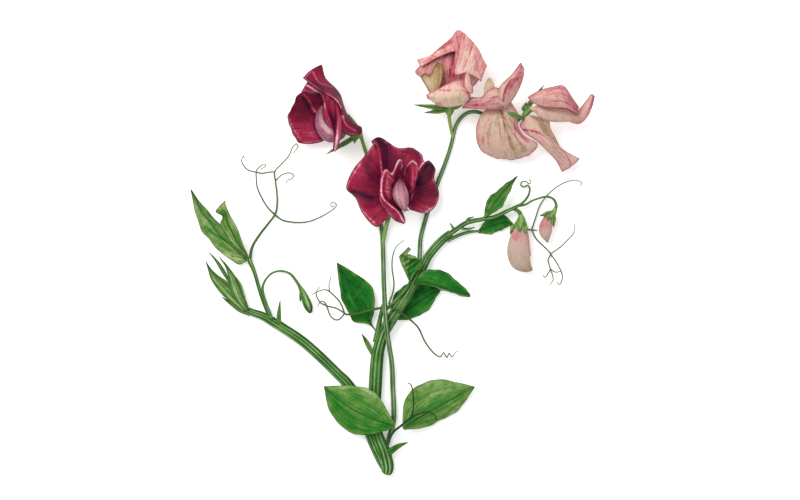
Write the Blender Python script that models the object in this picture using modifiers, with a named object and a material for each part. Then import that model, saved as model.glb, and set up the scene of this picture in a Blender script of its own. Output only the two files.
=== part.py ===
"""A cut spray of sweet pea, lying on a surface with its face up.

Two dark blooms and three pale ones stand on two long flower stalks, with buds, leaflets, stipules and
tendrils on the leafy stem between them. Every length is in millimetres until it is put in a mesh.
+X runs across the spray, +Y from the cut end to the top bloom, and +Z up from the surface.
"""
import bpy
import bmesh
from math import cos, pi, sin
from mathutils import Vector

MM = 0.001
SHIFT = Vector((-0.1, -0.57, 0.0))      # puts the middle of the spray's footprint at the origin
PETAL = 0.5                           # thickness of a petal's blade
BLADE = 0.5                           # thickness of a leaflet's blade
STEM_STEP = 5.0                       # length of one facet of a stem
TENDRIL_STEP = 2.8                    # length of one facet of a tendril
POD_SIDES = 8


# ---- the scene and its materials

def clear_scene():
    for thing in list(bpy.data.objects):
        bpy.data.objects.remove(thing, do_unlink=True)


def new_collection(name):
    collection = bpy.data.collections.new(name)
    bpy.context.scene.collection.children.link(collection)
    return collection


def material(name, colour, roughness=0.6):
    mat = bpy.data.materials.new(name)
    mat.use_nodes = True
    shader = mat.node_tree.nodes["Principled BSDF"]
    shader.inputs["Base Color"].default_value = (*colour, 1.0)
    shader.inputs["Roughness"].default_value = roughness
    shader.inputs["Metallic"].default_value = 0.0
    return mat


MAROON = (0.19, 0.012, 0.035)
CRIMSON = (0.27, 0.02, 0.06)
MAUVE = (0.62, 0.33, 0.36)
ROSE = (0.68, 0.30, 0.30)
BLUSH = (0.70, 0.47, 0.40)
TAN = (0.50, 0.38, 0.25)
STEM_GREEN = (0.10, 0.22, 0.08)
PALE_GREEN = (0.22, 0.34, 0.16)
LEAF_GREEN = (0.09, 0.24, 0.05)
DEEP_GREEN = (0.02, 0.13, 0.03)
TENDRIL_GREEN = (0.14, 0.17, 0.06)


def place(name, mesh, colour):
    """Link a finished mesh as one named piece with a material of its own."""
    mesh.materials.clear()
    mesh.materials.append(material(name, colour))
    mesh.shade_smooth()
    piece = bpy.data.objects.new(name, mesh)
    SPRAY.objects.link(piece)
    return piece


# ---- curves through hand-set points

def between(before, a, b, after, t):
    """The point a share t of the way from a to b on a Catmull-Rom curve."""
    return [0.5 * (2 * q + (r - p) * t + (2 * p - 5 * q + 4 * r - s) * t ** 2
                   + (3 * q - p - 3 * r + s) * t ** 3)
            for p, q, r, s in zip(before, a, b, after)]


def smooth(points, step):
    """Points about a step apart on the curve through tuples of any length."""
    path = [points[0], *points, points[-1]]
    out = []
    for before, a, b, after in zip(path, path[1:], path[2:], path[3:]):
        gap = (Vector(b[:3]) - Vector(a[:3])).length
        count = max(1, round(gap / step))
        out += [between(before, a, b, after, i / count) for i in range(count)]
    return out + [list(points[-1])]


# ---- tubes: stems, stalks and tendrils

def tube_mesh(route, step, resolution):
    """A capped tube along (x, y, z, radius) points, as a closed mesh."""
    points = smooth(route, step)
    curve = bpy.data.curves.new("route", "CURVE")
    curve.dimensions = "3D"
    curve.bevel_depth = MM
    curve.bevel_resolution = resolution
    curve.use_fill_caps = True
    line = curve.splines.new("POLY")
    line.points.add(len(points) - 1)
    for point, (x, y, z, radius) in zip(line.points, points):
        point.co = (*((Vector((x, y, z)) + SHIFT) * MM), 1.0)
        point.radius = radius
    guide = bpy.data.objects.new("route", curve)
    bpy.context.scene.collection.objects.link(guide)
    evaluated = guide.evaluated_get(bpy.context.evaluated_depsgraph_get())
    mesh = bpy.data.meshes.new_from_object(evaluated)
    bpy.data.objects.remove(guide)
    bm = bmesh.new()
    bm.from_mesh(mesh)
    bmesh.ops.remove_doubles(bm, verts=bm.verts, dist=1e-6)
    bmesh.ops.recalc_face_normals(bm, faces=bm.faces)
    bm.to_mesh(mesh)
    bm.free()
    return mesh


def joined(meshes):
    """The Boolean union of closed meshes, as one mesh."""
    base = bpy.data.objects.new("base", meshes[0])
    bpy.context.scene.collection.objects.link(base)
    others = []
    for mesh in meshes[1:]:
        other = bpy.data.objects.new("other", mesh)
        bpy.context.scene.collection.objects.link(other)
        union = base.modifiers.new("union", "BOOLEAN")
        union.operation = "UNION"
        union.object = other
        others.append(other)
    evaluated = base.evaluated_get(bpy.context.evaluated_depsgraph_get())
    mesh = bpy.data.meshes.new_from_object(evaluated)
    for thing in (base, *others):
        bpy.data.objects.remove(thing)
    return mesh


def stem(name, route, colour=STEM_GREEN, step=STEM_STEP, resolution=2):
    return place(name, tube_mesh(route, step, resolution), colour)


def tendril(name, branches, colour=TENDRIL_GREEN):
    tubes = [tube_mesh(branch, TENDRIL_STEP, 1) for branch in branches]
    return place(name, joined(tubes), colour)


# ---- blades: petals and leaflets

def spread(points, cuts):
    """The same Catmull-Rom curve with an equal number of cuts between each pair of points."""
    first = [2 * a - b for a, b in zip(points[0], points[1])]
    last = [2 * a - b for a, b in zip(points[-1], points[-2])]
    path = [first, *points, last]
    return [between(*path[i:i + 4], k / cuts)
            for i in range(len(points) - 1) for k in range(cuts)] + [list(points[-1])]


def sheet(name, rows, thickness, colour, cuts):
    """A blade lofted through rows of points and then thickened."""
    across = [spread(row, cuts) for row in rows]
    along = [spread(column, cuts) for column in zip(*across)]
    bm = bmesh.new()
    grid = [[bm.verts.new((Vector(p) + SHIFT) * MM) for p in row] for row in zip(*along)]
    for low, high in zip(grid, grid[1:]):
        for a, b, c, d in zip(low, low[1:], high[1:], high):
            bm.faces.new((a, b, c, d))
    mesh = bpy.data.meshes.new(name)
    bm.to_mesh(mesh)
    bm.free()
    piece = place(name, mesh, colour)
    blade = piece.modifiers.new("blade", "SOLIDIFY")
    blade.thickness = thickness * MM
    blade.offset = 0.0
    return piece


def petal(name, rows, colour):
    return sheet(name, rows, PETAL, colour, cuts=2)


def leaflet(name, stations, colour=LEAF_GREEN):
    """A blade from (x, y, z, left, right, left lift, right lift) along its midrib, base to tip."""
    rows = []
    for i, (x, y, z, left, right, lift_left, lift_right) in enumerate(stations):
        before = stations[max(i - 1, 0)]
        after = stations[min(i + 1, len(stations) - 1)]
        along = Vector((after[0] - before[0], after[1] - before[1])).normalized()
        side = Vector((-along.y, along.x))
        rows.append([(x + side.x * reach, y + side.y * reach, z + lift)
                     for reach, lift in ((left, lift_left), (left * 0.5, lift_left * 0.35), (0, 0),
                                         (-right * 0.5, lift_right * 0.35), (-right, lift_right))])
    return sheet(name, rows, BLADE, colour, cuts=1)


# ---- pods: keels, buds and calyx cups

def pod_mesh(stations):
    """A closed body of elliptical rings, from (x, y, z, half width, half height) along its length."""
    bm = bmesh.new()
    rings = []
    for i, (x, y, z, width, height) in enumerate(stations):
        before = Vector(stations[max(i - 1, 0)][:3])
        after = Vector(stations[min(i + 1, len(stations) - 1)][:3])
        along = (after - before).normalized()
        side = along.cross((0, 0, 1)).normalized()
        up = side.cross(along)
        middle = Vector((x, y, z)) + SHIFT
        rings.append([bm.verts.new((middle + side * width * cos(2 * pi * k / POD_SIDES)
                                    + up * height * sin(2 * pi * k / POD_SIDES)) * MM)
                      for k in range(POD_SIDES)])
    for low, high in zip(rings, rings[1:]):
        for k in range(POD_SIDES):
            after = (k + 1) % POD_SIDES
            bm.faces.new((low[k], low[after], high[after], high[k]))
    bm.faces.new(rings[0])
    bm.faces.new(rings[-1])
    bmesh.ops.recalc_face_normals(bm, faces=bm.faces)
    mesh = bpy.data.meshes.new("pod")
    bm.to_mesh(mesh)
    bm.free()
    return mesh


def pod(name, stations, colour):
    return place(name, pod_mesh(smooth(stations, 2.5)), colour)


def lobe_stations(root, tip, width):
    """A pointed lobe from its root to its tip, flat and widest a third of the way along."""
    root, tip = Vector(root), Vector(tip)
    shares = ((0.0, 0.75), (0.35, 1.0), (0.7, 0.55), (1.0, 0.12))
    return [(*root.lerp(tip, t), width * share, 0.3) for t, share in shares]


def calyx(name, stalk, cup, lobes, width=1.1):
    """A stalk, the cup it carries and the pointed lobes round the cup's mouth, as one piece."""
    parts = [tube_mesh(stalk, 4.0, 1), pod_mesh(cup)]
    parts += [pod_mesh(lobe_stations(root, tip, width)) for root, tip in lobes]
    return place(name, joined(parts), PALE_GREEN)


# ---- stems and stalks, as (x, y, z, radius)

MAIN_STEM = [(-2.8, -98.6, 2.6, 2.3), (-3.6, -92, 2.8, 2.7), (-4.4, -86, 2.7, 2.5), (-6.4, -72, 2.5, 2.3),
             (-8.1, -60.5, 2.5, 2.3), (-7.4, -48.8, 2.5, 2.2), (-6.3, -42.1, 2.5, 2.0),
             (-3.6, -34, 3.0, 1.9), (1.4, -25.9, 3.8, 1.8), (6.3, -18.7, 4.0, 1.8),
             (10.3, -11.5, 3.6, 1.7), (13.5, -5.6, 2.8, 1.6), (16.2, -0.7, 2.2, 1.5),
             (20.7, 4.7, 2.0, 1.4), (24.3, 7.9, 2.2, 1.3)]
LEFT_BRANCH = [(-9.6, -85.0, 2.2, 1.7), (-11.6, -78, 1.9, 1.8), (-16, -66, 1.8, 1.8),
               (-20.9, -58.5, 1.8, 1.8), (-25.2, -54.2, 1.7, 1.7), (-33.3, -46.3, 1.7, 1.7),
               (-41.9, -38.9, 1.7, 1.7), (-53.6, -31.3, 1.6, 1.6), (-58.6, -28.4, 1.5, 1.4),
               (-63.4, -26.7, 1.4, 1.2)]
SIDE_SHOOT = [(-56.2, -27.4, 1.7, 0.8), (-58.2, -22.8, 1.5, 0.8), (-60.2, -17.0, 1.3, 0.8),
              (-62.6, -8.6, 1.3, 0.85), (-64.6, -3.8, 1.6, 0.9)]
RIGHT_SHOOT = [(25.8, 9.2, 2.4, 1.1), (28.4, 10.9, 2.7, 1.1), (33.3, 14.0, 2.9, 1.1),
               (40.5, 15.6, 3.2, 1.0), (45.9, 16.6, 3.4, 0.95), (50.4, 18.7, 3.4, 0.9),
               (54.6, 20.7, 3.2, 0.85), (58.1, 22.6, 2.8, 0.7), (60.8, 25.7, 2.2, 0.55),
               (61.7, 29.0, 1.6, 0.5), (60.8, 30.8, 1.0, 0.45), (59.2, 30.0, 0.8, 0.4),
               (57.7, 30.8, 0.9, 0.4), (58.2, 32.3, 1.4, 0.4), (60.0, 32.5, 2.2, 0.38),
               (61.4, 31.4, 3.2, 0.36), (62.1, 32.4, 3.4, 0.34), (61.3, 33.6, 3.2, 0.32)]
FRONT_STALK = [(0.0, -83.4, 1.6, 1.2), (0.6, -75, 1.4, 1.3), (-0.2, -60.5, 1.5, 1.3),
               (-0.6, -50, 3.4, 1.25), (-1.9, -41, 6.0, 1.2), (-2.9, -34, 6.7, 1.2),
               (-3.6, -26, 6.6, 1.2), (-4.2, -14, 5.0, 1.2), (-4.5, -4, 2.8, 1.2),
               (-4.8, 6, 1.5, 1.15), (-5.6, 14, 1.4, 1.1), (-7.6, 26, 1.4, 1.0),
               (-10.4, 39, 1.3, 0.95), (-12.4, 46, 1.6, 0.9)]
BACK_STALK = [(12.0, -2.2, 1.6, 1.0), (12.0, 2.0, 1.2, 1.0), (12.4, 7.0, 1.1, 1.0),
              (13.7, 12.4, 1.1, 1.0), (16.0, 20, 1.1, 1.0), (20.0, 31.7, 1.1, 1.0),
              (23.4, 40.6, 1.1, 0.95), (26.1, 48.8, 1.1, 0.9), (27.9, 56.5, 1.2, 0.9),
              (29.9, 60.4, 1.4, 0.9), (32.9, 63.2, 1.6, 0.9), (36.0, 64.1, 1.8, 0.9),
              (39.1, 63.7, 1.6, 0.85), (44.5, 61.8, 1.1, 0.8), (50, 60.4, 1.0, 0.75),
              (56.2, 59.6, 1.4, 0.7)]


def add_stems():
    stem("main_stem", MAIN_STEM)
    stem("left_branch", LEFT_BRANCH)
    stem("left_side_shoot", SIDE_SHOOT)
    stem("right_shoot", RIGHT_SHOOT, step=2.5, resolution=1)
    stem("front_flower_stalk", FRONT_STALK, PALE_GREEN)
    stem("back_flower_stalk", BACK_STALK, PALE_GREEN)


# ---- leaflets and stipules, as (x, y, z, left, right, left lift, right lift)

LEAFLETS = {
    "leaflet_base_left": [
        (0.9, -77.7, 7.4, 0.7, 0.7, 0, 0), (-3.5, -76.4, 7.2, 4.2, 5.0, -0.4, 0.2),
        (-9.5, -74.3, 6.8, 8.2, 10.0, -1.8, -0.2), (-16.5, -71.2, 6.2, 10.0, 12.0, -3.2, -1.4),
        (-22.8, -67.2, 5.0, 7.6, 9.2, -3.4, -0.6), (-27.6, -63.4, 3.4, 3.9, 4.6, -2.2, -0.4),
        (-31.0, -60.2, 1.8, 0.3, 0.3, 0, 0)],
    "leaflet_base_right": [
        (5.0, -78.6, 5.2, 0.7, 0.6, 0, 0), (10.0, -75.2, 4.8, 9.5, 4.4, -0.4, -1.6),
        (17.0, -71.0, 4.2, 13.0, 6.0, -1.0, -2.6), (24.0, -67.0, 3.8, 11.6, 6.4, -1.6, -2.8),
        (31.0, -63.4, 3.6, 6.2, 3.6, -1.4, -1.8), (36.6, -60.6, 3.2, 0.3, 0.3, 0, 0)],
    "leaflet_left": [
        (-7.4, -34.4, 1.7, 0.4, 0.4, 0, 0), (-10.4, -31.6, 1.7, 0.9, 0.7, 0, 0),
        (-12.6, -27.6, 1.8, 6.4, 5.0, -0.6, 0.8), (-15.2, -22.6, 2.0, 6.4, 8.0, -1.2, 0.6),
        (-18.0, -17.0, 2.2, 6.0, 8.0, -1.2, 0.4), (-21.2, -11.2, 2.4, 3.8, 5.0, -0.6, 0.4),
        (-25.2, -4.4, 2.6, 0.3, 0.3, 0, 0)],
    "leaflet_behind_stem": [
        (-0.6, -29.6, 0.8, 0.6, 0.6, 0, 0), (4.2, -26.8, 0.8, 8.0, 3.6, 0.3, 0.1),
        (9.5, -23.4, 0.8, 10.2, 5.4, 0.4, 0.1), (14.5, -20.2, 0.9, 8.6, 4.6, 0.2, 0.3),
        (18.6, -17.6, 1.0, 4.8, 2.4, 0.2, 0.3), (22.0, -15.4, 1.2, 0.3, 0.3, 0, 0)],
    "leaflet_folded": [
        (9.9, -13.6, 7.0, 0.5, 0.4, 0, -0.3), (13.6, -13.0, 7.6, 5.0, 0.8, 0.6, -2.2),
        (17.8, -13.8, 8.2, 7.0, 1.0, 0.4, -3.4), (22.0, -15.2, 8.4, 6.8, 1.0, -0.6, -3.8),
        (26.6, -16.7, 7.6, 5.2, 0.8, -1.4, -3.2), (31.0, -18.3, 6.0, 3.0, 0.6, -1.4, -2.0),
        (34.5, -19.2, 4.4, 0.5, 0.3, -0.3, -0.3)],
    "leaflet_far_left": [
        (-66.4, -2.6, 2.6, 0.6, 0.5, 0, 0), (-68.2, -0.8, 2.4, 4.4, 1.0, -1.0, 0.1),
        (-71.2, 1.8, 2.2, 5.8, 1.8, -1.6, 0.4), (-76.0, 6.0, 2.2, 5.0, 3.4, -1.7, 0.6),
        (-80.5, 11.0, 2.4, 5.6, 3.4, -1.6, 0.8), (-85.0, 17.5, 2.8, 4.0, 2.2, -0.8, 0.6),
        (-88.5, 23.5, 3.2, 1.7, 0.9, -0.2, 0.3), (-91.0, 28.5, 3.6, 0.3, 0.3, 0, 0)],
    "leaflet_shoot_upper": [
        (42.0, 17.6, 4.9, 0.5, 0.5, 0, 0), (44.0, 20.2, 5.0, 2.8, 2.8, 0.5, 0.3),
        (46.5, 23.7, 5.2, 3.2, 3.6, 0.8, 0.2), (49.6, 27.6, 5.0, 2.4, 2.9, 0.7, 0.2),
        (53.0, 31.4, 4.6, 1.3, 1.1, 0.3, 0.1), (55.9, 34.6, 4.2, 0.3, 0.3, 0, 0)],
    "leaflet_shoot_lower": [
        (38.7, 9.8, 1.0, 0.5, 0.5, 0, 0), (42.0, 11.3, 0.9, 2.8, 2.8, 0.3, -0.1),
        (46.0, 12.9, 0.9, 4.2, 3.4, 0.4, -0.1), (50.0, 13.8, 0.9, 3.8, 2.6, 0.4, 0.0),
        (54.0, 13.2, 1.0, 0.3, 0.3, 0, 0)],
    "stipule_left_branch": [
        (-51.4, -30.4, 3.4, 1.1, 1.1, 0, 0), (-51.4, -26.8, 3.6, 0.9, 0.9, 0, 0),
        (-50.9, -20.9, 3.4, 0.2, 0.2, 0, 0)],
    "stipule_main_stem": [
        (-9.9, -44.2, 2.8, 0.7, 0.7, 0, 0), (-11.6, -40.6, 2.8, 1.1, 1.1, 0, 0),
        (-14.2, -36.2, 2.6, 0.3, 0.3, 0, 0)],
    "stipule_base": [
        (-0.4, -88.6, 3.6, 1.6, 1.6, 0, 0), (2.6, -86.9, 3.4, 1.2, 1.0, 0, 0),
        (6.6, -85.4, 3.0, 0.2, 0.2, 0, 0)],
}
CURLED_LEAFLET = [
    [(7.4, -11.4, 6.6), (7.9, -11.3, 6.7), (8.4, -11.2, 6.6)],
    [(4.9, -7.5, 7.5), (7.2, -8.0, 6.6), (9.9, -8.8, 7.6)],
    [(3.6, -4.2, 9.5), (7.8, -4.8, 7.4), (12.8, -5.8, 9.0)],
    [(3.0, -1.6, 11.0), (7.4, -1.8, 10.0), (12.0, -2.2, 11.0)],
    [(3.6, -0.8, 12.2), (6.5, -0.4, 12.6), (9.5, -0.6, 12.8)],
    [(4.6, -0.6, 12.8), (6.0, 0.6, 12.8), (7.2, 0.4, 12.6)],
    [(6.6, 2.0, 12.2), (7.2, 2.6, 12.0), (7.9, 2.4, 11.8)]]
TURNED_LEAFLET = [
    [(-66.2, -0.6, 4.4), (-65.9, -0.5, 4.6), (-65.6, -0.4, 4.4)],
    [(-70.0, 3.8, 5.8), (-68.8, 4.2, 5.3), (-67.9, 4.4, 5.8)],
    [(-74.0, 9.6, 7.0), (-72.0, 10.2, 6.2), (-70.0, 10.6, 7.0)],
    [(-77.2, 13.6, 8.2), (-74.6, 14.6, 7.0), (-72.2, 15.0, 7.8)],
    [(-76.8, 16.6, 8.8), (-75.4, 18.0, 8.2), (-73.8, 18.6, 8.6)],
    [(-79.6, 18.9, 9.6), (-77.4, 21.0, 9.2), (-75.4, 22.0, 8.9)],
    [(-76.6, 22.8, 9.4), (-76.0, 23.3, 9.4), (-75.5, 23.7, 9.3)]]


def add_leaves():
    for name, stations in LEAFLETS.items():
        leaflet(name, stations)
    sheet("leaflet_curled", CURLED_LEAFLET, BLADE, LEAF_GREEN, cuts=1)
    sheet("leaflet_turned", TURNED_LEAFLET, BLADE, LEAF_GREEN, cuts=1)


# ---- tendrils, as branches of (x, y, z, radius)

TENDRILS = {
    "tendril_far_left": [
        [(-64.4, -0.6, 2.0, 0.7), (-63.5, 2.9, 2.2, 0.65), (-60.3, 8.3, 1.8, 0.6),
         (-56.9, 12.8, 1.2, 0.5), (-53.4, 17.5, 0.8, 0.5), (-52.4, 21.4, 0.7, 0.45),
         (-52.4, 26.8, 0.8, 0.42), (-53.1, 32.4, 1.0, 0.4), (-53.4, 36.9, 1.2, 0.4),
         (-50.4, 40.3, 1.2, 0.38), (-47.2, 43.9, 1.0, 0.36), (-45.5, 47.7, 0.8, 0.34),
         (-43.8, 49.5, 0.6, 0.3), (-43.0, 48.2, 0.5, 0.3), (-45.0, 45.2, 1.6, 0.28)],
        [(-53.4, 36.9, 1.2, 0.4), (-56.2, 36.7, 1.0, 0.38), (-59.0, 36.2, 0.8, 0.36),
         (-61.6, 36.7, 0.7, 0.34), (-65.2, 37.6, 0.7, 0.32), (-67.0, 39.1, 0.7, 0.3),
         (-68.4, 41.6, 0.8, 0.3), (-67.7, 43.9, 1.0, 0.28), (-66.8, 42.8, 1.3, 0.28)],
        [(-53.4, 17.5, 0.8, 0.5), (-56.7, 20.9, 0.7, 0.42), (-59.2, 25.0, 0.9, 0.4),
         (-61.2, 29.5, 1.4, 0.38), (-61.7, 33.5, 1.9, 0.36), (-61.7, 37.1, 2.0, 0.34),
         (-60.3, 39.0, 1.8, 0.32), (-58.2, 40.4, 1.6, 0.3), (-57.6, 39.4, 1.8, 0.28),
         (-59.9, 37.9, 2.0, 0.28)],
        [(-53.4, 17.5, 0.8, 0.5), (-50.0, 15.1, 0.7, 0.42), (-45.9, 14.2, 0.6, 0.4),
         (-41.6, 14.0, 0.6, 0.38), (-37.4, 14.6, 0.6, 0.36), (-32.9, 16.4, 0.7, 0.34),
         (-28.8, 18.7, 0.8, 0.32), (-26.6, 20.9, 0.9, 0.3), (-27.6, 22.2, 1.0, 0.28),
         (-26.4, 22.9, 1.0, 0.28), (-25.2, 21.4, 1.0, 0.28)],
        [(-53.1, 32.8, 1.0, 0.34), (-50.4, 35.3, 1.2, 0.32), (-47.4, 36.4, 1.4, 0.32),
         (-45.1, 35.6, 1.5, 0.3), (-45.6, 33.8, 1.6, 0.3), (-47.6, 33.2, 1.7, 0.28),
         (-48.4, 31.6, 1.6, 0.28)]],
    "tendril_middle_left": [
        [(-5.4, -23.8, 4.4, 0.65), (-9.9, -25.4, 4.6, 0.6), (-14.8, -26.8, 4.4, 0.55),
         (-19.8, -27.5, 3.4, 0.5), (-21.8, -27.0, 2.8, 0.45), (-22.9, -24.1, 2.6, 0.4),
         (-24.8, -20.9, 2.4, 0.38), (-28.8, -17.1, 2.0, 0.36), (-31.1, -16.4, 1.8, 0.34),
         (-34.2, -17.3, 1.4, 0.3), (-36.6, -18.7, 1.0, 0.28)],
        [(-28.6, -17.3, 2.0, 0.32), (-28.9, -14.2, 1.8, 0.3), (-27.9, -10.1, 1.4, 0.28)],
        [(-21.8, -27.0, 2.8, 0.45), (-25.7, -24.7, 1.8, 0.38), (-29.7, -23.7, 1.2, 0.36),
         (-32.9, -22.1, 1.0, 0.34), (-34.4, -19.6, 1.2, 0.32), (-34.6, -17.3, 1.4, 0.3),
         (-33.2, -15.1, 1.8, 0.28)],
        [(-21.8, -27.0, 2.8, 0.45), (-23.9, -29.5, 1.8, 0.4), (-26.1, -29.9, 1.0, 0.36),
         (-28.4, -28.1, 0.8, 0.34), (-29.7, -24.5, 0.9, 0.34), (-31.0, -21.9, 0.9, 0.32),
         (-32.8, -21.8, 1.0, 0.3), (-34.2, -24.1, 0.8, 0.28)]],
    "tendril_middle_right": [
        [(-1.4, -24.2, 6.2, 0.6), (1.4, -25.4, 6.6, 0.55), (5.4, -28.1, 5.0, 0.5), (8.8, -30.8, 3.2, 0.5),
         (11.7, -34.0, 1.8, 0.48), (14.4, -39.8, 0.8, 0.44), (18.0, -44.6, 0.6, 0.4),
         (21.2, -46.6, 0.6, 0.36), (22.9, -44.8, 0.9, 0.34), (24.3, -47.0, 0.6, 0.32),
         (25.4, -45.0, 0.9, 0.32), (26.7, -46.8, 0.6, 0.3), (28.2, -44.7, 0.8, 0.3),
         (29.4, -44.3, 0.7, 0.3)]],
    "tendril_upright": [
        [(-1.7, -21.6, 4.6, 0.45), (0.0, -17.3, 4.0, 0.42), (0.4, -12.8, 3.2, 0.4),
         (-0.4, -7.0, 2.4, 0.38), (-0.2, -1.6, 1.8, 0.35), (1.4, 2.9, 1.4, 0.3), (5.0, 6.1, 1.0, 0.28)]],
    "tendril_shoot": [
        [(54.9, 12.4, 0.9, 0.4), (58.0, 11.2, 0.6, 0.4), (62.6, 10.6, 0.6, 0.4), (65.3, 10.6, 0.5, 0.32)],
        [(62.6, 10.6, 0.6, 0.37), (64.4, 16.2, 0.6, 0.34), (66.2, 21.4, 0.6, 0.34),
         (69.3, 25.9, 0.6, 0.32), (72.5, 29.0, 0.7, 0.32), (77.2, 31.9, 0.9, 0.3),
         (81.9, 33.1, 0.9, 0.28), (85.2, 32.0, 0.8, 0.28), (84.2, 30.4, 0.7, 0.26)],
        [(62.6, 10.6, 0.6, 0.35), (64.8, 6.5, 0.6, 0.36), (68.4, 2.9, 0.6, 0.36), (71.1, -0.2, 0.6, 0.36),
         (70.0, -2.9, 0.6, 0.34), (71.1, -7.0, 0.6, 0.34), (72.3, -11.5, 0.6, 0.3),
         (70.9, -14.2, 0.6, 0.28)],
        [(71.1, -0.2, 0.6, 0.33), (75.6, 2.9, 0.9, 0.34), (78.8, 6.1, 1.0, 0.32), (81.5, 9.2, 1.0, 0.3),
         (81.9, 13.3, 0.9, 0.28)],
        [(71.1, -0.2, 0.6, 0.31), (73.4, -3.4, 0.8, 0.34), (75.6, -7.4, 0.9, 0.34),
         (76.5, -10.6, 0.8, 0.32), (75.4, -13.9, 0.7, 0.3), (73.8, -12.8, 0.7, 0.28)],
        [(71.1, -7.0, 0.6, 0.34), (68.9, -10.6, 0.6, 0.3), (67.6, -9.8, 0.6, 0.28)],
        [(71.1, -7.0, 0.6, 0.27), (73.4, -8.4, 0.8, 0.3), (75.9, -8.0, 0.9, 0.28)]],
    "tendril_base": [
        [(-2.6, -84.4, 6.2, 0.65), (0.0, -80.6, 7.0, 0.6), (3.0, -78.0, 8.4, 0.55),
         (8.1, -74.0, 7.6, 0.5), (11.7, -72.2, 7.2, 0.42), (15.8, -71.3, 7.0, 0.38),
         (18.6, -72.6, 6.8, 0.32), (19.6, -75.4, 6.4, 0.28)],
        [(8.1, -74.0, 7.6, 0.5), (9.2, -69.1, 7.4, 0.4), (9.0, -62.8, 7.0, 0.34), (8.1, -59.2, 6.8, 0.3),
         (6.6, -58.2, 6.6, 0.28)]],
}


def add_tendrils():
    for name, branches in TENDRILS.items():
        tendril(name, branches)


# ---- buds, as (x, y, z, half width, half height)

BUDS = {
    "big_bud_petals": (ROSE, [(56.0, 8.6, 3.7, 1.8, 1.6), (55.8, 5.6, 3.8, 3.6, 2.8),
                              (56.6, 1.0, 3.9, 5.2, 3.4), (58.0, -3.4, 3.7, 4.8, 3.1),
                              (61.2, -6.4, 3.4, 1.5, 1.4), (62.6, -7.2, 3.2, 0.4, 0.5)]),
    "small_bud_petals": (ROSE, [(70.7, 14.8, 3.5, 1.5, 1.3), (69.9, 12.6, 3.3, 3.1, 2.5),
                                (69.3, 9.4, 3.2, 3.0, 2.5), (69.5, 6.8, 3.1, 1.6, 1.5),
                                (69.8, 5.2, 3.0, 0.4, 0.4)]),
    "tip_bud_upper": (LEAF_GREEN, [(-66.9, -24.2, 2.8, 0.6, 0.6), (-68.6, -20.4, 2.8, 1.8, 1.3),
                                   (-70.6, -15.0, 2.7, 2.2, 1.4), (-73.2, -9.6, 2.6, 1.3, 1.0),
                                   (-75.2, -5.6, 2.4, 0.8, 0.6), (-78.3, -2.0, 2.2, 0.3, 0.3)]),
    "tip_bud_middle": (LEAF_GREEN, [(-74.6, -11.4, 1.0, 0.5, 0.4), (-77.2, -7.2, 1.2, 0.9, 0.6),
                                    (-80.0, -3.0, 1.4, 0.7, 0.5), (-82.9, 0.2, 1.4, 0.3, 0.3)]),
    "tip_bud_lower": (LEAF_GREEN, [(-68.9, -24.2, 1.6, 0.8, 0.8), (-72.6, -20.2, 1.7, 1.9, 1.3),
                                   (-77.0, -15.6, 1.7, 2.5, 1.4), (-80.6, -10.8, 1.6, 1.9, 1.1),
                                   (-82.8, -7.2, 1.5, 0.9, 0.7), (-84.4, -3.8, 1.4, 0.3, 0.3)]),
    "tip_bract": (LEAF_GREEN, [(-66.0, -27.9, 1.2, 0.5, 0.4), (-69.6, -26.4, 1.2, 0.8, 0.5),
                               (-73.4, -23.4, 1.2, 0.8, 0.5), (-77.0, -19.9, 1.2, 0.3, 0.3)]),
}
NODDING_STALK = [(-54.2, -28.6, 3.9, 0.55), (-56.0, -23.9, 3.6, 0.55), (-57.6, -18.7, 3.2, 0.55),
                 (-58.3, -15.4, 2.8, 0.55), (-57.4, -11.7, 2.2, 0.55), (-54.5, -8.8, 1.6, 0.55),
                 (-50.6, -7.9, 1.2, 0.55), (-46.4, -9.2, 1.1, 0.6), (-43.2, -13.2, 1.3, 0.75),
                 (-42.0, -15.4, 1.5, 0.8)]
NODDING_BUD = [(-42.3, -14.6, 1.5, 0.8, 0.8), (-40.8, -17.6, 1.6, 1.4, 1.2),
               (-39.4, -21.0, 1.7, 1.9, 1.4), (-38.1, -24.2, 1.7, 1.9, 1.4),
               (-37.2, -26.8, 1.6, 0.8, 0.8)]


def add_buds():
    for name, (colour, stations) in BUDS.items():
        pod(name, stations, colour)
    tooth = pod_mesh(lobe_stations((-41.2, -17.2, 1.6), (-41.9, -21.6, 1.8), 0.7))
    nodding = [tube_mesh(NODDING_STALK, 3.0, 1), pod_mesh(NODDING_BUD), tooth]
    place("nodding_bud", joined(nodding), LEAF_GREEN)


# ---- each calyx: stalk (x, y, z, radius), cup (x, y, z, half width, half height), lobes (root, tip)

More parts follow.
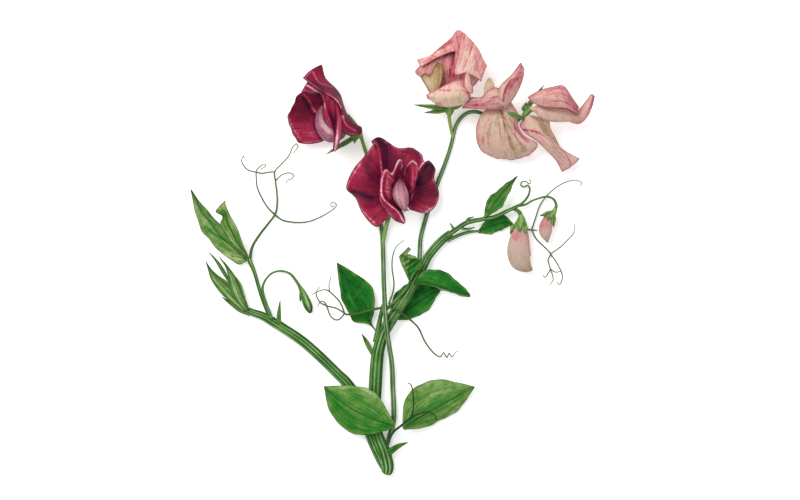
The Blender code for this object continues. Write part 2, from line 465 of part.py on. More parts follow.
CALYCES = {
    "left_bloom_calyx": (
        [(-12.9, 47.6, 2.0, 0.8), (-13.8, 50.6, 3.6, 0.8), (-14.4, 53.0, 5.6, 0.9)],
        [(-14.0, 52.8, 5.2, 0.8, 0.8), (-15.2, 53.4, 5.8, 2.0, 1.9), (-16.8, 54.0, 6.3, 2.4, 2.2),
         (-18.6, 54.6, 6.7, 2.5, 2.3)],
        [((-17.0, 52.4, 6.4), (-17.6, 49.6, 8.6)), ((-17.6, 52.2, 6.0), (-29.6, 45.2, 3.2)),
         ((-16.4, 56.2, 5.4), (-20.4, 63.2, 2.2)), ((-16.8, 53.6, 4.2), (-21.4, 54.0, 0.8))]),
    "front_bloom_calyx": (
        [(-2.6, 5.0, 2.8, 0.85), (-2.2, 10.0, 3.2, 0.85), (-1.6, 16.0, 3.0, 0.9), (-0.6, 20.4, 2.8, 1.0)],
        [(-0.7, 19.8, 2.8, 0.9, 0.9), (0.0, 21.8, 2.8, 2.2, 2.0), (0.8, 24.0, 3.0, 2.6, 2.3),
         (1.6, 26.0, 3.4, 2.6, 2.2)],
        [((-1.4, 24.6, 2.6), (-4.6, 30.6, 1.4)), ((1.4, 25.2, 2.0), (1.6, 33.0, 1.0)),
         ((2.6, 24.4, 2.6), (8.6, 27.4, 1.4)), ((1.8, 22.6, 2.6), (7.2, 19.2, 1.6))]),
    "top_bloom_calyx": (
        [(25.5, 57.2, 1.4, 0.6), (25.6, 60.6, 2.4, 0.7), (25.4, 63.4, 3.4, 0.9)],
        [(25.5, 62.2, 3.2, 0.9, 0.9), (25.4, 64.2, 3.8, 2.2, 2.0), (25.3, 66.0, 4.4, 2.6, 2.3),
         (25.2, 67.6, 4.9, 2.6, 2.3)],
        [((23.2, 65.4, 5.4), (9.3, 66.9, 6.8)), ((23.4, 64.6, 4.4), (14.1, 63.6, 4.2)),
         ((27.2, 65.6, 4.0), (32.8, 68.2, 3.2)), ((25.2, 66.2, 2.8), (24.8, 72.0, 1.6))]),
    "middle_bloom_calyx": (
        [(56.8, 61.8, 1.8, 0.6), (55.4, 62.6, 2.8, 0.8), (53.6, 63.4, 4.0, 0.9)],
        [(54.6, 63.0, 3.4, 0.9, 0.9), (52.8, 63.6, 4.2, 2.1, 1.9), (50.9, 64.2, 4.9, 2.4, 2.1),
         (49.2, 64.6, 5.5, 2.4, 2.1)],
        [((50.8, 65.8, 4.6), (47.2, 74.6, 5.0)), ((50.2, 64.8, 3.2), (43.0, 66.6, 1.6)),
         ((50.6, 62.8, 3.8), (46.0, 58.4, 2.6))]),
    "right_bloom_calyx": (
        [(57.2, 60.6, 2.4, 0.6), (58.0, 61.2, 3.8, 0.7), (58.8, 62.0, 5.2, 0.9)],
        [(58.4, 61.6, 4.8, 0.9, 0.9), (59.3, 62.7, 5.6, 2.0, 1.9), (60.5, 64.2, 6.2, 2.3, 2.1),
         (61.7, 65.8, 6.7, 2.3, 2.1)],
        [((60.0, 65.2, 5.6), (67.9, 75.6, 6.6)), ((61.6, 64.6, 4.6), (68.6, 66.6, 2.6)),
         ((58.8, 64.2, 6.6), (60.0, 68.2, 8.2))]),
    "big_bud_calyx": (
        [(54.0, 18.8, 1.8, 0.8), (55.0, 17.6, 2.4, 0.9), (55.6, 16.0, 3.0, 1.2)],
        [(55.4, 16.6, 3.0, 1.1, 1.1), (56.2, 13.6, 3.5, 2.3, 2.0), (56.3, 11.2, 3.8, 2.9, 2.5),
         (56.2, 9.2, 3.8, 3.1, 2.6)],
        [((54.2, 10.8, 4.6), (51.6, 6.6, 5.4)), ((57.0, 10.4, 6.0), (57.6, 6.8, 7.4)),
         ((58.4, 10.4, 4.6), (60.4, 7.2, 6.2)), ((55.6, 10.4, 1.9), (55.4, 7.8, 0.7))]),
    "small_bud_calyx": (
        [(59.0, 20.8, 1.6, 0.5), (60.6, 22.0, 2.0, 0.5), (63.0, 23.7, 2.2, 0.45), (67.0, 25.1, 2.2, 0.45),
         (70.2, 25.3, 2.4, 0.5), (72.6, 24.3, 2.8, 0.55), (73.5, 22.4, 3.2, 0.65),
         (73.0, 20.0, 3.5, 0.9)],
        [(73.1, 20.4, 3.5, 0.8, 0.8), (72.3, 18.4, 3.6, 1.5, 1.4), (71.4, 16.8, 3.6, 2.1, 1.9),
         (70.9, 15.4, 3.6, 2.2, 2.0)],
        [((70.4, 17.4, 4.6), (66.9, 16.6, 5.2)), ((72.4, 16.4, 4.2), (72.9, 12.6, 5.2)),
         ((70.8, 16.6, 5.4), (69.2, 13.6, 6.2))]),
}


def add_calyces():
    for name, (stalk, cup, lobes) in CALYCES.items():
        calyx(name, stalk, cup, lobes)


# ---- petals, as rows of (x, y, z) across the blade

LEFT_STANDARD = [
    [(-20.0, 55.4, 11.4), (-19.4, 56.2, 10.8), (-19.0, 57.2, 9.8), (-19.6, 57.8, 8.6),
     (-20.4, 58.2, 7.6)],
    [(-19.8, 57.8, 15.6), (-17.4, 58.4, 13.6), (-16.2, 59.0, 10.6), (-18.2, 60.6, 7.2),
     (-20.6, 61.4, 5.0)],
    [(-24.0, 65.6, 21.0), (-22.2, 66.6, 16.0), (-21.4, 67.2, 10.5), (-22.8, 67.0, 6.0),
     (-25.0, 66.0, 3.2)],
    [(-29.0, 70.6, 22.0), (-26.0, 72.6, 17.0), (-24.2, 73.8, 11.0), (-26.5, 73.0, 6.0),
     (-30.0, 71.0, 2.2)],
    [(-36.0, 74.4, 21.0), (-32.6, 76.8, 18.0), (-29.0, 78.0, 12.0), (-32.5, 76.5, 6.0),
     (-36.5, 75.2, 1.6)],
    [(-41.4, 76.0, 19.0), (-38.0, 80.9, 17.0), (-32.2, 85.2, 13.0), (-36.0, 81.0, 6.6),
     (-41.0, 77.6, 2.0)]]
LEFT_WING_FAR = [
    [(-27.0, 66.4, 7.0), (-26.6, 62.4, 5.4), (-26.8, 57.6, 4.6), (-27.6, 53.6, 4.6)],
    [(-34.0, 72.0, 11.0), (-33.5, 66.2, 6.6), (-33.4, 57.6, 4.0), (-32.2, 50.4, 4.8)],
    [(-40.4, 72.0, 12.4), (-39.6, 65.0, 6.4), (-39.4, 57.6, 3.6), (-37.0, 49.4, 5.0)],
    [(-43.4, 70.6, 12.0), (-45.2, 64.6, 7.4), (-44.8, 57.0, 5.0), (-41.2, 49.6, 5.4)],
    [(-44.0, 69.0, 11.4), (-47.2, 62.6, 8.6), (-46.4, 56.6, 6.8), (-42.6, 50.6, 6.2)]]
LEFT_WING_NEAR = [
    [(-30.8, 69.0, 12.6), (-28.4, 68.6, 15.0), (-26.4, 67.2, 17.6), (-25.4, 66.2, 16.0)],
    [(-31.2, 64.2, 14.6), (-28.2, 64.0, 16.6), (-25.4, 62.8, 19.4), (-23.8, 62.4, 15.6)],
    [(-30.8, 58.8, 15.4), (-28.2, 58.4, 17.0), (-25.2, 57.0, 20.4), (-22.2, 58.2, 16.2)],
    [(-29.2, 54.2, 14.6), (-27.4, 53.2, 16.4), (-25.8, 51.4, 18.4), (-22.8, 53.6, 15.6)],
    [(-27.6, 50.2, 13.2), (-27.0, 49.0, 14.6), (-26.2, 47.4, 16.0), (-24.8, 49.4, 13.8)],
    [(-26.8, 46.8, 12.6), (-26.4, 46.0, 13.0), (-26.0, 45.2, 13.6), (-25.4, 46.4, 13.0)]]
LEFT_KEEL = [(-21.4, 56.4, 9.0, 1.0, 1.0), (-24.4, 54.8, 9.2, 2.6, 2.2), (-28.4, 54.2, 9.6, 3.6, 2.8),
             (-31.8, 57.0, 10.0, 3.2, 2.6), (-32.8, 61.0, 10.4, 2.2, 1.9), (-32.4, 64.2, 10.8, 0.7, 0.8)]

FRONT_STANDARD = [
    [(1.0, 24.0, 6.4), (-4.0, 18.6, 8.0), (-6.6, 14.0, 6.6), (-7.9, 11.6, 4.8)],
    [(0.2, 25.0, 6.4), (-4.6, 23.0, 9.0), (-10.4, 20.4, 8.0), (-16.2, 21.0, 4.6)],
    [(-0.2, 26.4, 6.4), (-5.6, 27.0, 10.0), (-13.0, 28.0, 10.4), (-21.4, 29.2, 6.4)],
    [(-0.2, 27.8, 6.6), (-5.4, 31.4, 10.6), (-12.0, 35.0, 12.4), (-18.2, 38.4, 8.4)],
    [(0.2, 29.0, 6.8), (-3.6, 34.4, 11.2), (-6.8, 42.0, 15.0), (-10.2, 49.2, 13.4)],
    [(0.8, 29.4, 6.9), (-1.2, 35.4, 10.4), (-3.4, 43.6, 11.6), (-5.8, 52.2, 10.2)],
    [(1.6, 29.6, 7.0), (1.2, 35.6, 10.6), (1.2, 41.6, 11.6), (1.8, 48.2, 9.8)],
    [(2.6, 29.4, 6.9), (4.2, 35.2, 10.6), (6.2, 41.0, 12.0), (9.4, 48.0, 9.6)],
    [(3.4, 28.6, 6.8), (7.0, 33.0, 11.0), (10.6, 37.6, 13.2), (15.0, 42.6, 10.4)],
    [(4.0, 27.4, 6.6), (8.8, 29.8, 10.6), (13.6, 33.0, 12.6), (19.2, 38.8, 8.0)],
    [(4.0, 26.2, 6.5), (9.0, 26.6, 10.0), (14.6, 27.4, 11.2), (21.2, 28.0, 6.2)],
    [(3.6, 25.0, 6.4), (7.8, 23.4, 8.8), (12.8, 21.4, 8.8), (19.4, 18.8, 4.6)],
    [(3.0, 24.4, 6.4), (5.6, 21.8, 7.8), (7.6, 19.8, 7.2), (9.6, 17.6, 5.2)]]
FRONT_WING_LEFT = [
    [(5.3, 12.6, 9.6), (5.4, 13.8, 10.2), (5.6, 15.2, 10.8)],
    [(1.8, 17.2, 14.0), (2.5, 18.8, 13.2), (3.2, 20.2, 12.4)],
    [(-2.8, 21.0, 17.4), (-1.4, 22.2, 15.4), (0.2, 23.4, 13.0)],
    [(-5.8, 27.0, 20.4), (-3.8, 27.0, 17.4), (-1.2, 26.6, 13.4)],
    [(-5.4, 33.6, 21.2), (-3.6, 32.0, 18.2), (-1.2, 30.0, 14.0)],
    [(-3.4, 38.4, 21.0), (-1.6, 35.0, 18.4), (0.4, 32.2, 14.4)],
    [(0.4, 37.6, 20.4), (0.8, 35.6, 18.0), (1.2, 33.8, 14.8)],
    [(3.0, 42.6, 19.4), (2.8, 38.6, 17.4), (2.4, 35.2, 14.8)]]
FRONT_WING_RIGHT = [
    [(5.0, 41.0, 18.6), (4.6, 38.0, 17.0), (4.0, 35.2, 15.0)],
    [(8.8, 42.8, 20.0), (7.4, 38.8, 18.0), (5.6, 34.4, 15.0)],
    [(12.8, 41.0, 20.4), (10.0, 36.8, 18.4), (7.2, 32.0, 15.0)],
    [(12.0, 36.4, 19.6), (10.2, 33.0, 17.6), (8.4, 29.4, 14.6)],
    [(10.2, 30.6, 18.4), (9.4, 28.6, 16.6), (8.6, 26.4, 14.2)],
    [(8.6, 24.6, 15.8), (8.2, 23.8, 14.8), (7.8, 22.6, 13.6)]]
FRONT_KEEL = [(3.4, 33.6, 14.6, 0.6, 0.8), (3.2, 30.6, 14.6, 2.2, 2.4), (3.4, 26.5, 14.4, 3.2, 3.2),
              (4.4, 22.5, 13.6, 2.2, 2.6), (5.2, 18.8, 12.8, 0.5, 0.6)]

TOP_STANDARD = [
    [(23.0, 70.4, 7.0), (23.9, 70.4, 6.4), (24.9, 70.4, 6.0), (25.9, 70.4, 6.0), (26.9, 70.4, 6.4),
     (28.0, 70.4, 7.0)],
    [(15.5, 76.5, 9.0), (19.5, 76.5, 6.0), (23.5, 76.5, 4.4), (27.5, 76.5, 4.2), (31.5, 76.0, 5.4),
     (36.0, 74.6, 8.0)],
    [(9.6, 81.4, 12.0), (16.5, 83.0, 6.5), (23.0, 84.4, 3.6), (28.5, 84.6, 3.4), (34.4, 82.0, 5.6),
     (39.4, 78.6, 9.0)],
    [(12.4, 85.4, 10.0), (18.6, 89.4, 6.4), (25.0, 91.8, 4.4), (29.5, 93.0, 4.0), (35.2, 89.6, 6.0),
     (40.4, 83.0, 9.0)],
    [(11.0, 86.4, 14.0), (18.2, 91.4, 13.5), (27.2, 97.4, 12.0), (31.0, 99.8, 11.4),
     (36.9, 91.6, 13.0), (41.8, 84.4, 13.0)],
    [(12.2, 84.4, 17.5), (20.0, 88.2, 20.0), (28.8, 91.2, 21.0), (27.8, 81.0, 22.4),
     (33.4, 82.4, 22.0), (39.8, 76.6, 17.0)]]
TOP_WING_NEAR = [
    [(19.0, 71.4, 9.6), (22.0, 70.4, 9.4), (26.0, 70.2, 9.4), (30.0, 71.0, 9.6), (32.8, 72.6, 10.0)],
    [(16.2, 69.2, 13.0), (20.0, 66.8, 13.0), (25.8, 65.8, 13.0), (30.8, 67.0, 13.0), (34.8, 70.2, 13.0)],
    [(15.2, 70.4, 16.8), (19.3, 69.8, 19.0), (25.0, 70.2, 20.0), (30.0, 71.2, 19.2), (33.6, 72.4, 16.6)],
    [(14.4, 71.2, 17.0), (20.0, 74.6, 19.6), (24.5, 77.4, 19.8), (28.8, 78.6, 19.0), (31.0, 78.6, 18.0)]]
TOP_WING_FAR = [
    [(33.2, 81.6, 18.6), (34.6, 81.2, 19.0), (36.4, 80.0, 17.0)],
    [(32.4, 77.4, 19.4), (34.2, 77.0, 19.8), (36.6, 76.6, 17.0)],
    [(33.4, 74.6, 18.4), (35.0, 74.2, 18.6), (36.8, 74.0, 16.2)],
    [(35.0, 72.8, 15.6), (35.6, 72.4, 15.6), (36.4, 72.4, 15.0)]]
TOP_KEEL = [
    [(17.0, 72.6, 11.8), (17.4, 72.3, 11.3), (18.1, 72.2, 11.2), (18.9, 72.3, 11.4), (19.6, 72.8, 12.0)],
    [(14.3, 75.6, 13.6), (15.5, 75.6, 12.6), (17.4, 75.6, 12.4), (19.4, 76.0, 12.8), (21.0, 77.0, 14.0)],
    [(12.6, 78.4, 15.2), (14.2, 78.6, 14.2), (17.2, 78.2, 13.6), (19.8, 81.0, 14.2), (22.4, 81.4, 15.2)],
    [(12.6, 79.9, 16.0), (13.8, 81.6, 15.6), (17.1, 80.6, 14.4), (20.0, 86.2, 15.6), (22.6, 85.4, 16.0)]]

MIDDLE_STANDARD = [
    [(43.2, 64.2, 8.4), (45.0, 64.6, 8.8), (47.0, 64.8, 9.2), (49.0, 64.6, 9.0), (51.0, 64.2, 8.8)],
    [(40.4, 63.0, 8.4), (44.0, 61.6, 10.2), (48.0, 61.4, 11.4), (52.2, 62.4, 10.8), (56.4, 64.4, 9.4)],
    [(37.2, 57.6, 7.0), (42.5, 56.4, 10.6), (48.5, 56.0, 12.6), (53.0, 57.0, 11.0), (56.2, 59.4, 8.4)],
    [(36.8, 51.0, 5.0), (42.4, 49.6, 8.6), (49.2, 49.2, 10.6), (56.0, 51.0, 10.5), (60.0, 54.0, 9.6)],
    [(39.4, 45.6, 3.0), (45.0, 44.4, 5.6), (51.0, 44.0, 7.6), (58.6, 45.2, 8.4), (65.2, 50.0, 9.0)],
    [(42.2, 43.4, 1.4), (47.6, 41.8, 2.8), (53.0, 41.4, 4.4), (60.4, 42.6, 5.8), (66.0, 47.8, 7.2)]]
MIDDLE_WING_RIGHT = [
    [(46.2, 67.0, 11.4), (47.6, 66.6, 11.8), (49.2, 66.2, 11.4)],
    [(46.6, 71.0, 13.6), (49.2, 69.6, 15.4), (52.6, 67.4, 13.4)],
    [(49.0, 76.0, 14.5), (52.4, 74.6, 17.0), (56.6, 73.0, 14.5)],
    [(53.6, 80.6, 15.0), (55.8, 79.6, 16.5), (58.4, 78.4, 15.0)],
    [(57.2, 86.4, 14.8), (57.8, 86.2, 15.0), (59.2, 83.0, 14.8)]]
MIDDLE_WING_LEFT = [
    [(45.4, 70.2, 12.0), (45.0, 67.6, 12.2), (44.6, 65.4, 11.4)],
    [(42.4, 74.0, 14.0), (41.2, 70.0, 15.4), (40.6, 64.4, 12.8)],
    [(37.4, 71.0, 12.6), (36.4, 68.2, 14.4), (36.2, 64.8, 12.2)],
    [(31.2, 67.8, 11.0), (30.6, 66.4, 11.4), (30.2, 65.2, 11.0)]]
MIDDLE_KEEL = [(43.8, 67.2, 9.4, 1.0, 0.9), (43.5, 71.0, 9.6, 2.6, 1.6), (43.4, 75.4, 9.8, 2.2, 1.6),
               (43.4, 79.2, 10.0, 0.5, 0.6)]

RIGHT_STANDARD = [
    [(63.4, 61.8, 8.8), (61.2, 61.4, 9.8), (57.8, 60.2, 8.2)],
    [(70.2, 58.6, 7.2), (64.0, 57.6, 11.2), (57.6, 55.4, 6.4)],
    [(71.4, 56.0, 8.0), (66.8, 54.4, 12.0), (62.2, 53.2, 7.6)],
    [(74.0, 52.0, 8.0), (70.6, 50.0, 12.0), (66.4, 49.6, 8.8)],
    [(76.6, 47.4, 6.6), (74.2, 45.2, 10.2), (70.8, 44.2, 7.0)],
    [(80.6, 45.4, 4.6), (78.6, 42.2, 7.2), (74.0, 39.8, 3.8)],
    [(85.4, 43.4, 2.8), (82.6, 39.6, 5.0), (77.2, 36.0, 1.2)]]
RIGHT_WING_NEAR = [
    [(60.2, 70.4, 11.6), (61.4, 69.6, 12.4), (62.8, 68.4, 12.0)],
    [(66.0, 73.8, 14.0), (66.6, 69.8, 17.2), (66.8, 65.2, 14.6)],
    [(72.0, 76.2, 14.5), (72.4, 70.4, 19.0), (72.6, 64.4, 16.0)],
    [(77.6, 75.8, 14.0), (77.6, 69.6, 18.5), (77.6, 63.6, 15.6)],
    [(81.0, 70.6, 13.2), (81.2, 66.6, 16.0), (81.4, 61.8, 13.8)],
    [(83.2, 66.2, 12.4), (83.0, 64.4, 12.8), (82.6, 62.4, 12.4)]]
RIGHT_WING_FAR = [
    [(81.4, 59.8, 7.6), (82.4, 58.4, 8.0), (84.0, 58.2, 7.6)],
    [(83.6, 63.8, 9.6), (85.4, 61.8, 11.4), (88.0, 61.0, 9.6)],
    [(85.2, 67.4, 10.6), (87.2, 66.2, 12.4), (90.0, 65.6, 10.6)],
    [(88.6, 71.6, 11.2), (89.8, 72.2, 11.6), (91.4, 71.4, 11.2)]]
RIGHT_KEEL = [(64.6, 65.0, 9.6, 0.8, 0.8), (68.0, 62.8, 10.6, 2.5, 2.0), (73.6, 61.6, 10.8, 2.8, 2.2),
              (79.4, 61.2, 9.8, 1.8, 1.6), (81.4, 61.6, 9.6, 0.5, 0.6)]


def add_blooms():
    petal("left_bloom_standard", LEFT_STANDARD, CRIMSON)
    petal("left_bloom_wing_far", LEFT_WING_FAR, CRIMSON)
    petal("left_bloom_wing_near", LEFT_WING_NEAR, MAROON)
    pod("left_bloom_keel", LEFT_KEEL, MAUVE)
    petal("front_bloom_standard", FRONT_STANDARD, CRIMSON)
    petal("front_bloom_wing_left", FRONT_WING_LEFT, CRIMSON)
    petal("front_bloom_wing_right", FRONT_WING_RIGHT, MAROON)
    pod("front_bloom_keel", FRONT_KEEL, MAUVE)
    petal("top_bloom_standard", TOP_STANDARD, ROSE)
    petal("top_bloom_wing_near", TOP_WING_NEAR, BLUSH)
    petal("top_bloom_wing_far", TOP_WING_FAR, ROSE)
    petal("top_bloom_keel", TOP_KEEL, TAN)
    petal("middle_bloom_standard", MIDDLE_STANDARD, BLUSH)
    petal("middle_bloom_wing_left", MIDDLE_WING_LEFT, ROSE)
    petal("middle_bloom_wing_right", MIDDLE_WING_RIGHT, ROSE)
    pod("middle_bloom_keel", MIDDLE_KEEL, TAN)
    petal("right_bloom_standard", RIGHT_STANDARD, BLUSH)
    petal("right_bloom_wing_near", RIGHT_WING_NEAR, ROSE)
    petal("right_bloom_wing_far", RIGHT_WING_FAR, ROSE)
    pod("right_bloom_keel", RIGHT_KEEL, BLUSH)


clear_scene()
SPRAY = new_collection("sweet_pea_spray")
add_stems()
add_leaves()
add_tendrils()
add_buds()
add_calyces()
add_blooms()
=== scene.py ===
# %% [markdown]
# # A cut spray of sweet pea
# A sweet pea is a climbing pea with winged stems, paired leaflets, branching tendrils and long stalks that
# carry a few blooms each. Each bloom has one broad petal at the back, the standard, two wings in front of
# it, and a keel between the wings. This spray is cut and laid flat, so it is looked at from straight above.
#
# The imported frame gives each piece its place. Each simple solid in it is replaced here by a detailed piece.

# %% The frame
from math import cos, pi, sin

import bmesh
import bpy
import numpy as np
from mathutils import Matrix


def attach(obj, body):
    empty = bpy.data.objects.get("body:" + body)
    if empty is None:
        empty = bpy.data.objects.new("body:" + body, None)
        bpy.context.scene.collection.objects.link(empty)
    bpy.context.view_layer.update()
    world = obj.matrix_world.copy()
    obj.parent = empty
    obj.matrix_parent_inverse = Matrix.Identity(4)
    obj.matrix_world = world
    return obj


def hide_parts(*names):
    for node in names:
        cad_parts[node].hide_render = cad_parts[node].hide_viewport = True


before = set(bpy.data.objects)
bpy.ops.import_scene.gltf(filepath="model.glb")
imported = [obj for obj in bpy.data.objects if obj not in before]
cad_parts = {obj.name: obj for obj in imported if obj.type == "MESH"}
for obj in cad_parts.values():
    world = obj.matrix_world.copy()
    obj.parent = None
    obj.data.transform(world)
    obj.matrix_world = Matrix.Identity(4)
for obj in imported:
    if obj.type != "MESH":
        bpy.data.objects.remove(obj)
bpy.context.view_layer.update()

# %% [markdown]
# ## Units and the sheet's origin
# Every length below is in millimetres, because petals and stems are easier to think about that way. One
# factor turns them to metres when a mesh is made. `SHIFT` moves the spray's own origin, near the stems'
# crossing, to the frame's.

# %% Units
MM = 0.001
SHIFT = np.array([-0.1, -0.57, 0.0])
NO_LINE = 9.0        # a distance in mm that means no margin or vein is near
SPECK = 0.8          # mm across, much coarser than real cells, so that the specks show at all

# %% [markdown]
# ## Camera, surface and light
# A flat spray is looked at from straight above. A long lens far away keeps the high petals from looking
# larger than the stems on the surface. The spray lies on white card on a light table, whose faint glow takes
# the shadows away, one wide soft light stands at the upper left, and an even white sky fills the shade, as in
# a plant studio. `Standard` shows colours as they are named, so a petal's hex can be matched.

# %% The camera
VIEW_WIDTH = 360.0                    # mm of surface across the picture
VIEW_HEIGHT = 2000.0                  # mm from the surface to the lens
VIEW_MIDDLE = (3.05, 1.0)             # mm from the frame's origin
PETAL_HEIGHT = 8.0                    # mm, the level at which the width is true
scene = bpy.context.scene
camera_data = bpy.data.cameras.new("overhead_camera")
camera_data.sensor_width = 36.0
camera_data.lens = camera_data.sensor_width * (VIEW_HEIGHT - PETAL_HEIGHT) / VIEW_WIDTH
camera_data.clip_start, camera_data.clip_end = 0.05, 20.0
camera = bpy.data.objects.new("overhead_camera", camera_data)
camera.location = [length * MM for length in (*VIEW_MIDDLE, VIEW_HEIGHT)]
scene.collection.objects.link(camera)
scene.camera = camera
print("lens in mm:", round(camera_data.lens, 1))


# %% Colours and nodes
def linear(hexadecimal):
    """An sRGB hex colour as the linear RGBA that a shader works in."""
    shares = [int(hexadecimal[i:i + 2], 16) / 255 for i in (1, 3, 5)]
    return (*(c / 12.92 if c <= 0.04045 else ((c + 0.055) / 1.055) ** 2.4 for c in shares), 1.0)


def add_node(tree, kind, inputs=(), out=0, stops=(), **settings):
    """Add a node with its settings, inputs and colour stops, and return one of its outputs.

    Each input is given a value, or another node's output to link.
    """
    made = tree.nodes.new(kind)
    for name, value in settings.items():
        setattr(made, name, value)
    for name, value in dict(inputs).items():
        if isinstance(value, bpy.types.NodeSocket):
            tree.links.new(value, made.inputs[name])
        else:
            made.inputs[name].default_value = value
    for i, (share, hexadecimal) in enumerate(stops):
        elements = made.color_ramp.elements
        if i == 0:
            elements.remove(elements[1])
        stop = elements.new(share) if i else elements[0]
        stop.position, stop.color = share, linear(hexadecimal)
    return made.outputs[out] if made.outputs else made


def new_material(name, roughness, shine):
    """A material with its roughness and shine set, its node tree and its shader."""
    material = bpy.data.materials.new(name)
    material.use_nodes = True
    shader = material.node_tree.nodes["Principled BSDF"]
    shader.inputs["Roughness"].default_value = roughness
    shader.inputs["Specular IOR Level"].default_value = shine
    return material, material.node_tree, shader


def colour_and_relief(tree, shader, tone, patterns, ramp, layers, relief, strength, depth):
    """Colour a shader along a ramp, and raise its relief.

    patterns: (output, strength) pairs that move the tone either way. layers: (share, hex) pairs laid over
    the ramp's colour. strength and depth in metres are the relief's own.
    """
    for pattern, amount in patterns:
        tone = add_node(tree, "ShaderNodeMath", {0: pattern, 1: amount, 2: tone}, operation="MULTIPLY_ADD")
    colour = add_node(tree, "ShaderNodeValToRGB", {0: tone}, stops=ramp)
    for share, hexadecimal in layers:
        colour = add_node(tree, "ShaderNodeMix", {0: share, 6: colour, 7: linear(hexadecimal)}, out=2,
                          data_type="RGBA")
    tree.links.new(colour, shader.inputs["Base Color"])
    bump = add_node(tree, "ShaderNodeBump", {"Height": relief, "Strength": strength, "Distance": depth})
    tree.links.new(bump, shader.inputs["Normal"])


# %% The surface and the lights
def white_card():
    """Matt white card: a rough face with a faint tooth and a glow from below, soft and without shine.

    The tooth is about 1 mm across, coarser than real card's, so that it isn't lost at this distance.
    """
    material, tree, shader = new_material("matt_white_card", roughness=0.95, shine=0.1)
    shader.inputs["Base Color"].default_value = linear("#fbfbfa")
    shader.inputs["Emission Color"].default_value = (1.0, 1.0, 1.0, 1.0)
    shader.inputs["Emission Strength"].default_value = 0.3
    place = add_node(tree, "ShaderNodeTexCoord", out="Object")
    tooth = add_node(tree, "ShaderNodeTexNoise", {"Vector": place, "Scale": 900.0, "Detail": 2.0})
    relief = add_node(tree, "ShaderNodeBump", {"Height": tooth, "Strength": 0.1, "Distance": 0.0001})
    tree.links.new(relief, shader.inputs["Normal"])
    return material


card_mesh = bpy.data.meshes.new("card")
CARD_RADIUS = 4.0                     # metres, so that its edge is far outside every view
card_mesh.from_pydata([(CARD_RADIUS * cos(k * pi / 24), CARD_RADIUS * sin(k * pi / 24), -0.0003)
                       for k in range(48)], [], [tuple(range(48))])
card_mesh.materials.append(white_card())
card = bpy.data.objects.new("card", card_mesh)
scene.collection.objects.link(card)


def soft_light(name, place, size, power):
    """A square soft light that faces the spray."""
    data = bpy.data.lights.new(name, "AREA")
    data.size, data.energy = size, power
    light = bpy.data.objects.new(name, data)
    light.location = place
    light.rotation_euler = (-light.location).to_track_quat("-Z", "Y").to_euler()
    scene.collection.objects.link(light)


soft_light("window_light", (-0.9, 1.0, 1.5), 1.2, 30.0)
soft_light("fill_light", (1.2, -0.8, 1.8), 1.6, 8.0)
sky = bpy.data.worlds.new("white_sky")
sky.use_nodes = True
sky.node_tree.nodes["Background"].inputs["Color"].default_value = (1.0, 1.0, 1.0, 1.0)
sky.node_tree.nodes["Background"].inputs["Strength"].default_value = 0.62
scene.world = sky
scene.view_settings.view_transform = "Standard"

# %% [markdown]
# ## Plant tissue
# A petal or a leaf gets its colour from layers of cells: darker or paler patches, fine veins that run from
# the claw to the margin, and a margin that is thinner and so has its own colour. An image could be painted
# for each piece, but one material that reads a few values kept on the mesh serves them all:
# - `tone` runs along the colour ramp, and is set at each point of a piece's cage
# - `grain` is the place on the piece in mm, with the last number along the veins
# - `rim` and `vein` are distances in mm to the margin and to the nearest main vein
# - `under` is 1 on the underside


# %% A tissue material
VALUES = ("tone", "rim", "vein", "under")
RAGGED = 0.7          # mm that a petal's margin lines wander in and out


